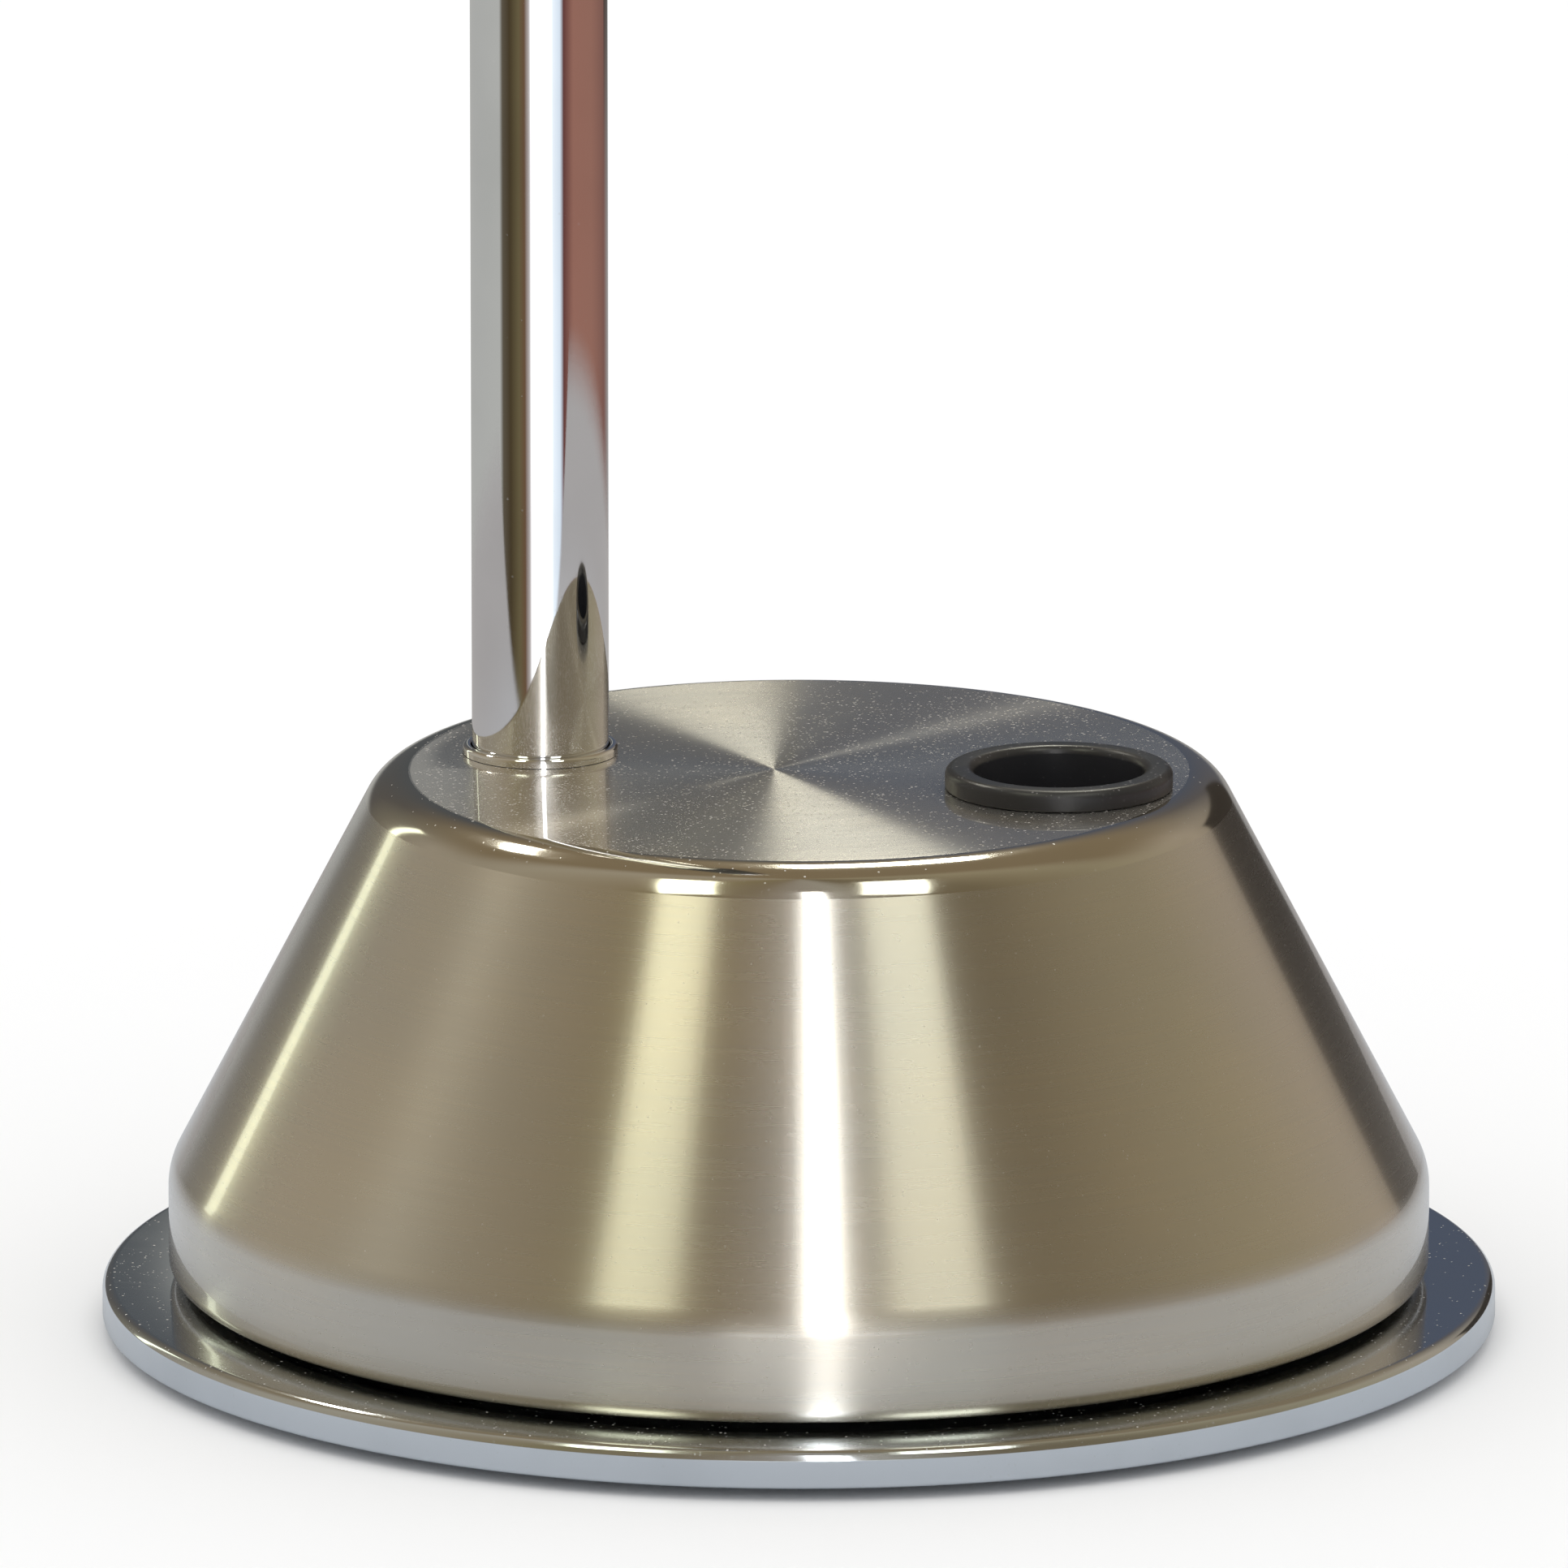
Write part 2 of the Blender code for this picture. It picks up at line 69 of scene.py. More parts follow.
PLATE_EDGE_R = 1.3 * MM
PLATE_FOOT_R = 0.4 * MM
PLATE_BORE_R = 5.3 * MM
GROOVE_IN_R = 39.7 * MM
GROOVE_DOWN = 0.8 * MM
TUBE_WALL = 1.5 * MM
UPRIGHT_HOLE_R = 8.3 * MM
COLLAR_ROUND = 0.5 * MM
SMALL_BREAK = 0.3 * MM
KNOB_NECK_R = 9.5 * MM
KNOB_BORE_R = 4.3 * MM
KNOB_BORE_H = 16.3 * MM
KNOB_BEAD_R = 0.6 * MM
GRIP_WALL = 3.2 * MM
GRIP_END = 6.0 * MM
GRIP_END_ROUND = 1.2 * MM
RIB_DEPTH = 0.7 * MM
GRIP_RIBS = 22
SOCKET_R = 9.9 * MM
SOCKET_WALL = 1.6 * MM
SOCKET_HOLE_R = 11.8 * MM
LIP_ROUND = 0.95 * MM
PAD_ROUND = 0.8 * MM
BUSH_FOOT_ROUND = 0.25 * MM
BUSH_LIFT = 0.05 * MM
COLLAR_FIT = 0.1 * MM
COLLAR_SUNK = 0.25 * MM

# Sizes of the finishes: how fine the brushing, the dust and the grain are.
CONE_LINES = 5200.0
TOOL_LINES = 2600.0
BRUSHED_SPECK = 0.5 * MM
POLISHED_SPECK = 0.6 * MM
RUBBED_EDGE = 0.5 * MM
SAME_PLACE = 0.02 * MM

# The view: how high and how far round the camera stands, and how far off.
VIEW_HEIGHT = 14.0
VIEW_ROUND = 16.5
VIEW_DISTANCE = 2.9
LENS = 570.0
LOOK_AT_Z = 34.5 * MM
LOOK_UP = 29.4 * MM
LOOK_LEFT = 1.74 * MM


def centre_of(node):
    low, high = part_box(node)
    return (low + high) / 2


shell_low, shell_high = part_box("shell")
SHELL_R = shell_high.x
SHELL_Z = shell_low.z
SHELL_TOP = shell_high.z
upright_at = centre_of("upright_tube")
socket_at = centre_of("socket_bush")


# ---------------------------------------------------------------- node helpers
def add(tree, kind, inputs=None, **settings):
    """A node with its settings and inputs. An input is a value, or another node's output."""
    node = tree.nodes.new(kind)
    for name, value in settings.items():
        setattr(node, name, value)
    for key, value in (inputs or {}).items():
        socket = node.inputs[key]
        if isinstance(value, bpy.types.NodeSocket):
            tree.links.new(value, socket)
        else:
            socket.default_value = value
    return node


def maths(tree, operation, *values, clamp=False):
    inputs = dict(enumerate(values))
    return add(tree, "ShaderNodeMath", inputs, operation=operation, use_clamp=clamp).outputs[0]


def vectors(tree, operation, *values):
    return add(tree, "ShaderNodeVectorMath", dict(enumerate(values)), operation=operation).outputs[0]


def spread(tree, value, low, high, to_low=0.0, to_high=1.0, smooth=True):
    """Maps a value from one range to another, held at the ends."""
    kind = "SMOOTHSTEP" if smooth else "LINEAR"
    inputs = {"Value": value, "From Min": low, "From Max": high, "To Min": to_low, "To Max": to_high}
    return add(tree, "ShaderNodeMapRange", inputs, interpolation_type=kind).outputs[0]


def parts(tree, vector):
    return add(tree, "ShaderNodeSeparateXYZ", {0: vector}).outputs


def joined(tree, x, y, z):
    return add(tree, "ShaderNodeCombineXYZ", {0: x, 1: y, 2: z}).outputs[0]


def noise(tree, place, scale, detail):
    inputs = {"Vector": place, "Scale": scale, "Detail": detail}
    return add(tree, "ShaderNodeTexNoise", inputs).outputs[0]


def mix_colour(tree, factor, first, second):
    node = add(tree, "ShaderNodeMix", data_type="RGBA")
    for index, value in ((0, factor), (6, first), (7, second)):
        if isinstance(value, bpy.types.NodeSocket):
            tree.links.new(value, node.inputs[index])
        else:
            node.inputs[index].default_value = value
    return node.outputs[2]


def mix_value(tree, factor, first, second):
    node = add(tree, "ShaderNodeMix", {0: factor, 2: first, 3: second}, data_type="FLOAT")
    return node.outputs[0]


def new_group(name, kind, inputs, outputs):
    """An empty node group with named sockets: (name, type, default) and (name, type)."""
    group = bpy.data.node_groups.new(name, kind)
    for label, socket_type, default in inputs:
        socket = group.interface.new_socket(label, in_out="INPUT", socket_type=socket_type)
        if default is not None:
            socket.default_value = default
    for label, socket_type in outputs:
        group.interface.new_socket(label, in_out="OUTPUT", socket_type=socket_type)
    start = group.nodes.new("NodeGroupInput")
    end = group.nodes.new("NodeGroupOutput")
    return group, start.outputs, end.inputs


def place_group(tree, group, inputs=None):
    node = add(tree, tree.bl_idname.replace("Tree", "Group"), node_tree=group)
    for key, value in (inputs or {}).items():
        if isinstance(value, bpy.types.NodeSocket):
            tree.links.new(value, node.inputs[key])
        else:
            node.inputs[key].default_value = value
    return node


def rgba(colour):
    return (*colour, 1.0)


def tinted(colour, *factors):
    """A colour with its channels scaled, by one factor or by one for each, as far as white."""
    factors = factors * 3 if len(factors) == 1 else factors
    return rgba(min(1.0, channel * factor) for channel, factor in zip(colour, factors))


def feed(tree, shader, inputs):
    for name, value in inputs.items():
        tree.links.new(value, shader.inputs[name])


# ---------------------------------------------------------------- effects that finishes share
FLOAT = "NodeSocketFloat"
VECTOR = "NodeSocketVector"
SHADER_TREE = "ShaderNodeTree"


def make_brush_lines():
    """Fine lines that run round an axis: as long as a stroke round it, and hair-fine across it."""
    inputs = [("Place", VECTOR, None), ("Lines", FLOAT, 4000.0), ("Stroke", FLOAT, 1.2)]
    outputs = [("Lines", FLOAT), ("Broad", FLOAT)]
    group, given, out = new_group("Brush lines", SHADER_TREE, inputs, outputs)
    across = vectors(group, "MULTIPLY", given["Place"], (1.0, 1.0, 0.0))
    radius = add(group, "ShaderNodeVectorMath", {0: across}, operation="LENGTH").outputs["Value"]
    slope = maths(group, "SUBTRACT", parts(group, given["Place"])["Z"], radius)
    round_axis = vectors(group, "SCALE", vectors(group, "NORMALIZE", across))
    group.links.new(given["Stroke"], round_axis.node.inputs["Scale"])
    turned_to = parts(group, round_axis)
    for_lines = maths(group, "MULTIPLY", slope, given["Lines"])
    for_broad = maths(group, "MULTIPLY", for_lines, 0.12)
    fine_place = joined(group, turned_to["X"], turned_to["Y"], for_lines)
    broad_place = joined(group, turned_to["X"], turned_to["Y"], for_broad)
    group.links.new(noise(group, fine_place, 1.0, 3.0), out["Lines"])
    group.links.new(noise(group, broad_place, 1.7, 2.0), out["Broad"])
    return group


def make_dust():
    """Scattered specks that have settled on upward faces, each in its own cell."""
    inputs = [
        ("Place", VECTOR, None),
        ("Amount", FLOAT, 0.5),
        ("Speck Size", FLOAT, 0.0006),
        ("Largest", FLOAT, 0.27),
        ("Upward", FLOAT, 0.5),
    ]
    group, given, out = new_group("Dust", SHADER_TREE, inputs, [("Mask", FLOAT)])
    scale = maths(group, "DIVIDE", 1.0, given["Speck Size"])
    in_cells = {"Vector": given["Place"], "Scale": scale, "Randomness": 1.0}
    cells = add(group, "ShaderNodeTexVoronoi", in_cells).outputs
    pick = add(group, "ShaderNodeSeparateColor", {0: cells["Color"]}).outputs
    patch = spread(group, noise(group, given["Place"], 55.0, 3.0), 0.38, 0.68)
    chance = maths(group, "MULTIPLY", given["Amount"], maths(group, "ADD", 0.25, patch))
    kept = maths(group, "LESS_THAN", pick["Red"], chance)
    size = spread(group, pick["Green"], 0.0, 1.0, 0.09, given["Largest"], smooth=False)
    speck = maths(group, "LESS_THAN", cells["Distance"], size)
    up = parts(group, add(group, "ShaderNodeNewGeometry").outputs["Normal"])["Z"]
    facing = spread(group, up, given["Upward"], 1.0, 0.12, 1.0)
    thickness = spread(group, pick["Blue"], 0.0, 1.0, 0.3, 0.9, smooth=False)
    thickness = maths(group, "MULTIPLY", facing, thickness)
    mask = maths(group, "MULTIPLY", maths(group, "MULTIPLY", kept, speck), thickness)
    group.links.new(mask, out["Mask"])
    return group


def make_scratches():
    """Sparse hair scratches in many directions, from handling."""
    inputs = [("Place", VECTOR, None), ("Amount", FLOAT, 0.5)]
    group, given, out = new_group("Hair scratches", SHADER_TREE, inputs, [("Mask", FLOAT)])
    total = None
    for turn, seed in ((25.0, 3.1), (-40.0, 7.7), (80.0, 12.3)):
        drawn_out = {
            "Vector": given["Place"],
            "Rotation": (math.radians(turn), math.radians(turn * 0.6), math.radians(turn)),
            "Location": (seed, seed, seed),
            "Scale": (24.0, 1500.0, 1500.0),
        }
        along = add(group, "ShaderNodeMapping", drawn_out).outputs[0]
        line = spread(group, noise(group, along, 1.0, 0.0), 0.77, 0.81)
        total = line if total is None else maths(group, "MAXIMUM", total, line)
    group.links.new(maths(group, "MULTIPLY", total, given["Amount"]), out["Mask"])
    return group


def make_edge_wear():
    """Where corners have been rubbed bright."""
    inputs = [("Place", VECTOR, None), ("Width", FLOAT, 0.0005)]
    group, given, out = new_group("Edge wear", SHADER_TREE, inputs, [("Mask", FLOAT)])
    worn = add(group, "ShaderNodeBevel", {"Radius": given["Width"]}, samples=4)
    sharp = add(group, "ShaderNodeNewGeometry").outputs["Normal"]
    both = {0: worn.outputs[0], 1: sharp}
    alike = add(group, "ShaderNodeVectorMath", both, operation="DOT_PRODUCT").outputs["Value"]
    edge = spread(group, alike, 0.999, 0.93)
    rub = spread(group, noise(group, given["Place"], 500.0, 3.0), 0.35, 0.6)
    group.links.new(maths(group, "MULTIPLY", edge, rub), out["Mask"])
    return group


def make_grain():
    """The fine, even tooth of moulded rubber, plastic or a casting."""
    inputs = [("Place", VECTOR, None), ("Grain Size", FLOAT, 0.0004)]
    outputs = [("Height", FLOAT), ("Tone", FLOAT)]
    group, given, out = new_group("Grain", SHADER_TREE, inputs, outputs)
    scale = maths(group, "DIVIDE", 1.0, given["Grain Size"])
    group.links.new(noise(group, given["Place"], scale, 4.0), out["Height"])
    group.links.new(noise(group, given["Place"], 60.0, 3.0), out["Tone"])
    return group


BRUSH_LINES = make_brush_lines()
DUST = make_dust()
SCRATCHES = make_scratches()
EDGE_WEAR = make_edge_wear()
GRAIN = make_grain()


# ---------------------------------------------------------------- materials
def new_material(name, metallic, **constants):
    """A material, its tree, its shader and the place on the object that patterns read."""
    made = bpy.data.materials.new(name)
    made.use_nodes = True
    tree = made.node_tree
    shader = tree.nodes["Principled BSDF"]
    shader.inputs["Metallic"].default_value = metallic
    for label, value in constants.items():
        shader.inputs[label.replace("_", " ")].default_value = value
    place = add(tree, "ShaderNodeTexCoord").outputs["Object"]
    return made, tree, shader, place


def bump(tree, height, strength, distance):
    inputs = {"Height": height, "Strength": strength, "Distance": distance}
    return add(tree, "ShaderNodeBump", inputs).outputs[0]


def brushed_steel(name, centre, roughness, anisotropy, dusty, largest=0.27, film=0.0):
    """Lacquered stainless, brushed round an axis so that light is drawn out across the lines.

    The film is thin, even dust, which greys the steel but leaves its lines as sharp as before.
    """
    made, tree, shader, place = new_material(
        name,
        1.0,
        Anisotropic=anisotropy,
        Anisotropic_Rotation=0.25,
        Coat_Weight=0.8,
        Coat_Roughness=0.03,
        Coat_IOR=1.5,
    )
    about = vectors(tree, "SUBTRACT", place, (centre.x, centre.y, 0.0))
    lines = place_group(tree, BRUSH_LINES, {"Place": about, "Lines": CONE_LINES, "Stroke": 2.4})
    off = parts(tree, about)
    along_lines = joined(tree, maths(tree, "MULTIPLY", off["Y"], -1.0), off["X"], 0.0)
    tangent = add(
        tree,
        "ShaderNodeVectorTransform",
        {0: along_lines},
        vector_type="VECTOR",
        convert_from="OBJECT",
        convert_to="WORLD",
    )
    settled = {"Place": place, "Amount": dusty, "Speck Size": BRUSHED_SPECK, "Largest": largest}
    specks = place_group(tree, DUST, settled | {"Upward": 0.5}).outputs[0]
    covered = maths(tree, "MAXIMUM", specks, film)
    scratches = place_group(tree, SCRATCHES, {"Place": place, "Amount": 0.08}).outputs[0]
    shade = maths(tree, "MULTIPLY_ADD", lines.outputs["Lines"], 0.5, noise(tree, place, 28.0, 3.0))
    cool = tinted(STAINLESS, 0.93, 0.94, 0.95)
    warm = tinted(STAINLESS, 1.04, 1.01, 0.96)
    metal = mix_colour(tree, spread(tree, shade, 0.55, 1.05), cool, warm)
    low, high = roughness - 0.006, roughness + 0.006
    rough = spread(tree, lines.outputs["Broad"], 0.3, 0.7, low, high)
    rough = maths(tree, "ADD", rough, maths(tree, "MULTIPLY", scratches, 0.08))
    finish = {
        "Base Color": mix_colour(tree, covered, metal, rgba((0.62, 0.58, 0.53))),
        "Roughness": mix_value(tree, specks, rough, 0.8),
        "Metallic": maths(tree, "SUBTRACT", 1.0, covered),
        "Normal": bump(tree, lines.outputs["Lines"], 0.02, 0.05 * MM),
        "Tangent": vectors(tree, "NORMALIZE", tangent.outputs[0]),
    }
    feed(tree, shader, finish)
    return made


def polished_metal(name, colour, roughness, dusty, smudged):
    """Bright plating or polish: near-mirror, with smudges, fine wear and a little dust."""
    made, tree, shader, place = new_material(name, 1.0)
    settled = {"Place": place, "Amount": dusty, "Speck Size": POLISHED_SPECK, "Upward": 0.6}
    specks = place_group(tree, DUST, settled).outputs[0]
    scratches = place_group(tree, SCRATCHES, {"Place": place, "Amount": 0.2}).outputs[0]
    wear = place_group(tree, EDGE_WEAR, {"Place": place, "Width": RUBBED_EDGE}).outputs[0]
    smear = spread(tree, noise(tree, place, 45.0, 4.0), 0.45, 0.75)
    metal = mix_colour(tree, smear, rgba(colour), tinted(colour, 0.93))
    metal = mix_colour(tree, wear, metal, tinted(colour, 1.05))
    rough = spread(tree, smear, 0.0, 1.0, roughness, roughness + smudged)
    rough = maths(tree, "ADD", rough, maths(tree, "MULTIPLY", scratches, 0.10))
    finish = {
        "Base Color": mix_colour(tree, specks, metal, rgba((0.60, 0.57, 0.53))),
        "Roughness": mix_value(tree, specks, rough, 0.8),
        "Metallic": maths(tree, "SUBTRACT", 1.0, specks),
        "Normal": bump(tree, noise(tree, place, 90.0, 1.0), 0.02, 0.2 * MM),
    }
    feed(tree, shader, finish)
    return made


def moulded(name, colour, roughness, grain_size, depth, dusty):
    """Moulded rubber or plastic: finely toothed, worn paler on its edges, and dusty on top."""
    made, tree, shader, place = new_material(name, 0.0)
    grain = place_group(tree, GRAIN, {"Place": place, "Grain Size": grain_size}).outputs
    settled = {"Place": place, "Amount": dusty, "Speck Size": POLISHED_SPECK, "Upward": 0.2}
    specks = place_group(tree, DUST, settled).outputs[0]
    wear = place_group(tree, EDGE_WEAR, {"Place": place, "Width": 0.6 * MM}).outputs[0]
    pale = rgba(min(1.0, channel * 1.35 + 0.004) for channel in colour)
    base = mix_colour(tree, grain["Tone"], tinted(colour, 0.8), pale)
    rubbed = mix_colour(tree, maths(tree, "MULTIPLY", wear, 0.4), base, pale)
    thin_dust = maths(tree, "MULTIPLY", specks, 0.7)
    finish = {
        "Base Color": mix_colour(tree, thin_dust, rubbed, rgba((0.32, 0.30, 0.29))),
        "Roughness": spread(tree, grain["Tone"], 0.3, 0.7, roughness - 0.05, roughness + 0.07),
        "Normal": bump(tree, grain["Height"], 0.35, depth),
    }
    feed(tree, shader, finish)
    return made


def turned_metal(name, colour, roughness):
    """A machined piece with the tool's fine rings and edges rubbed bright."""
    made, tree, shader, place = new_material(name, 1.0)
    rings = {"Place": place, "Lines": TOOL_LINES, "Stroke": 1.0}
    lines = place_group(tree, BRUSH_LINES, rings).outputs
    wear = place_group(tree, EDGE_WEAR, {"Place": place, "Width": 0.4 * MM}).outputs[0]
    metal = mix_colour(tree, lines["Broad"], tinted(colour, 0.85), rgba(colour))
    finish = {
        "Base Color": mix_colour(tree, wear, metal, tinted(colour, 1.25)),
        "Roughness": spread(tree, lines["Broad"], 0.3, 0.7, roughness - 0.06, roughness + 0.08),
        "Normal": bump(tree, lines["Lines"], 0.2, 0.06 * MM),
    }
    feed(tree, shader, finish)
    return made


def cast_iron():
    """A rough casting with rust in patches."""
    made, tree, shader, place = new_material("cast_iron", 0.85)
    grain = place_group(tree, GRAIN, {"Place": place, "Grain Size": 1.1 * MM}).outputs
    rust = spread(tree, grain["Tone"], 0.52, 0.7)
    finish = {
        "Base Color": mix_colour(tree, rust, rgba((0.09, 0.088, 0.085)), rgba((0.16, 0.07, 0.035))),
        "Roughness": spread(tree, grain["Height"], 0.3, 0.7, 0.55, 0.8),
        "Normal": bump(tree, grain["Height"], 0.8, 0.3 * MM),
    }
    feed(tree, shader, finish)
    return made


view_round = math.radians(VIEW_ROUND)
view_right = Vector((math.cos(view_round), math.sin(view_round), 0.0))
view_away = Vector((-math.sin(view_round), math.cos(view_round), 0.0))
AXIS = Vector((0.0, 0.0, 0.0))
BRUSHING_CENTRE = -view_right * BRUSHING_OFF_CENTRE
STAINLESS = (0.66, 0.635, 0.58)
CHROME = (0.84, 0.85, 0.87)
DULL_CHROME = (0.66, 0.70, 0.74)
BLACK = (0.016, 0.016, 0.018)
DARK_GREY = (0.022, 0.022, 0.023)
OFF_WHITE = (0.72, 0.71, 0.67)

finishes = {
    "cone": brushed_steel("brushed_cone", AXIS, 0.27, 0.97, 0.12),
    "top": brushed_steel("brushed_top", BRUSHING_CENTRE, 0.21, 1.0, 1.3, 0.34, 0.11),
    "shoulder": polished_metal("polished_shoulder", STAINLESS, 0.09, 0.12, 0.02),
    "inside": turned_metal("pressed_inside", (0.42, 0.41, 0.39), 0.40),
    "chrome": polished_metal("polished_chrome", CHROME, 0.03, 0.02, 0.03),
    "plate": polished_metal("polished_plate", DULL_CHROME, 0.09, 0.35, 0.04),
    "rubber": moulded("black_rubber", BLACK, 0.32, 0.35 * MM, 0.03 * MM, 0.9),
    "grip": moulded("grip_rubber", DARK_GREY, 0.55, 0.45 * MM, 0.06 * MM, 0.15),
    "steel": turned_metal("zinc_steel", (0.52, 0.52, 0.53), 0.32),
    "iron": cast_iron(),
    "acetal": moulded("white_acetal", OFF_WHITE, 0.35, 0.3 * MM, 0.02 * MM, 0.05),
    "bronze": turned_metal("turned_bronze", (0.52, 0.34, 0.16), 0.30),
}


# ---------------------------------------------------------------- turned shapes
def rounded(corners, steps=10):
    """An outline of (radius, height) points from corners given as (radius, height, rounding)."""
    points = []
    for index, (across, up, rounding) in enumerate(corners):
        corner = Vector((across, up))
        if rounding == 0.0:
            points.append(corner)
            continue
        before = Vector(corners[index - 1][:2]) - corner
        after = Vector(corners[(index + 1) % len(corners)][:2]) - corner
        half = before.angle(after) / 2
        middle = (before.normalized() + after.normalized()).normalized()
        centre = corner + middle * (rounding / math.sin(half))
        start = corner + before.normalized() * (rounding / math.tan(half)) - centre
        end = corner + after.normalized() * (rounding / math.tan(half)) - centre
        sweep = start.angle_signed(end)
        for step in range(steps + 1):
            points.append(centre + Matrix.Rotation(-sweep * step / steps, 2) @ start)
    return points


def link_mesh(name, builder, finish_list, sharp=35.0):
    mesh = bpy.data.meshes.new(name)
    builder.to_mesh(mesh)
    builder.free()
    mesh.shade_smooth()
    mesh.set_sharp_from_angle(angle=math.radians(sharp))
    for finish in finish_list:
        mesh.materials.append(finish)
    made = bpy.data.objects.new(name, mesh)
    bpy.context.scene.collection.objects.link(made)
    return made


def turned(name, outline, finish, centre=AXIS, sides=SMALL_SIDES):
    """A solid turned about an upright axis, from an outline that is closed or ends on the axis."""
    builder = bmesh.new()
    points = [builder.verts.new((point[0], 0.0, point[1])) for point in outline]
    edges = [builder.edges.new(pair) for pair in zip(points, points[1:])]
    if outline[0][0] > 0.0:
        edges.append(builder.edges.new((points[-1], points[0])))
    bmesh.ops.spin(
        builder,
        geom=points + edges,
        cent=(0.0, 0.0, 0.0),
        axis=(0.0, 0.0, 1.0),
        angle=math.tau,
        steps=sides,
        use_merge=True,
    )
    bmesh.ops.remove_doubles(builder, verts=builder.verts, dist=1e-7)
    bmesh.ops.dissolve_degenerate(builder, edges=builder.edges, dist=1e-7)
    bmesh.ops.recalc_face_normals(builder, faces=builder.faces)
    bmesh.ops.translate(builder, verts=builder.verts, vec=(centre.x, centre.y, 0.0))
    return link_mesh(name, builder, [finish])


def stands_for(piece, body, node):
    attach(piece, body)
    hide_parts(node)


# ---------------------------------------------------------------- geometry node trees
GEOMETRY = "NodeSocketGeometry"
INTEGER = "NodeSocketInt"
MATERIAL = "NodeSocketMaterial"
GEOMETRY_TREE = "GeometryNodeTree"
THREAD_R = 0.01 * MM


def by_index(tree, kind, values):
    """Picks a value by the point's index."""
    node = add(tree, "GeometryNodeIndexSwitch", data_type=kind)
    while len(node.index_switch_items) < len(values):
        node.index_switch_items.new()
    tree.links.new(add(tree, "GeometryNodeInputIndex").outputs[0], node.inputs["Index"])
    for index, value in enumerate(values):
        if isinstance(value, bpy.types.NodeSocket):
            tree.links.new(value, node.inputs[index + 1])
        else:
            node.inputs[index + 1].default_value = value
    return node.outputs[0]


def at(tree, across, up):
    return joined(tree, across, up, 0.0)


def draw_outline(tree, corners, steps, closed=False):
    """A curve through corners given as (place, rounding), each rounded in so many steps."""
    points = add(tree, "GeometryNodePoints", {"Count": len(corners)}).outputs[0]
    places = by_index(tree, "VECTOR", [place for place, _ in corners])
    set_out = {"Geometry": points, "Position": places}
    points = add(tree, "GeometryNodeSetPosition", set_out).outputs[0]
    curve = add(tree, "GeometryNodePointsToCurves", {"Points": points}).outputs[0]
    cyclic = {"Geometry": curve, "Cyclic": closed}
    curve = add(tree, "GeometryNodeSetSplineCyclic", cyclic).outputs[0]
    radii = by_index(tree, "FLOAT", [radius for _, radius in corners])
    inputs = {"Curve": curve, "Count": steps, "Radius": radii, "Limit Radius": True}
    return add(tree, "GeometryNodeFilletCurve", inputs, mode="POLY").outputs[0]


def revolve(tree, profile, sides):
    """Sweeps a profile drawn as (radius, height) once round +Z, and closes it on the axis."""
    thread = {"Resolution": sides, "Radius": THREAD_R}
    ring = add(tree, "GeometryNodeCurvePrimitiveCircle", thread, mode="RADIUS").outputs[0]
    flipped = {"Geometry": profile, "Scale": (1.0, -1.0, 1.0)}
    upright = add(tree, "GeometryNodeTransform", flipped).outputs[0]
    inputs = {"Curve": ring, "Profile Curve": upright}
    swept = add(tree, "GeometryNodeCurveToMesh", inputs).outputs[0]
    merged = {"Geometry": swept, "Distance": 4 * THREAD_R}
    return add(tree, "GeometryNodeMergeByDistance", merged).outputs[0]


def settle(tree, body, out):
    body = add(tree, "GeometryNodeRealizeInstances", {"Geometry": body}).outputs[0]
    tree.links.new(body, out["Geometry"])


def run_tree(name, tree, sizes, sharp):
    """Runs a tree on an empty mesh with the given sizes and keeps the result as a plain mesh."""
    carrier = bpy.data.objects.new(name, bpy.data.meshes.new(name))
    bpy.context.scene.collection.objects.link(carrier)
    modifier = carrier.modifiers.new(name, "NODES")
    modifier.node_group = tree
    for item in tree.interface.items_tree:
        if item.item_type == "SOCKET" and item.in_out == "INPUT" and item.name in sizes:
            modifier[item.identifier] = sizes[item.name]
    graph = bpy.context.evaluated_depsgraph_get()
    mesh = bpy.data.meshes.new_from_object(carrier.evaluated_get(graph), depsgraph=graph)
    carrier.modifiers.remove(modifier)
    carrier.data = mesh
    mesh.name = name
    mesh.shade_smooth()
    mesh.set_sharp_from_angle(angle=math.radians(sharp))
    return carrier


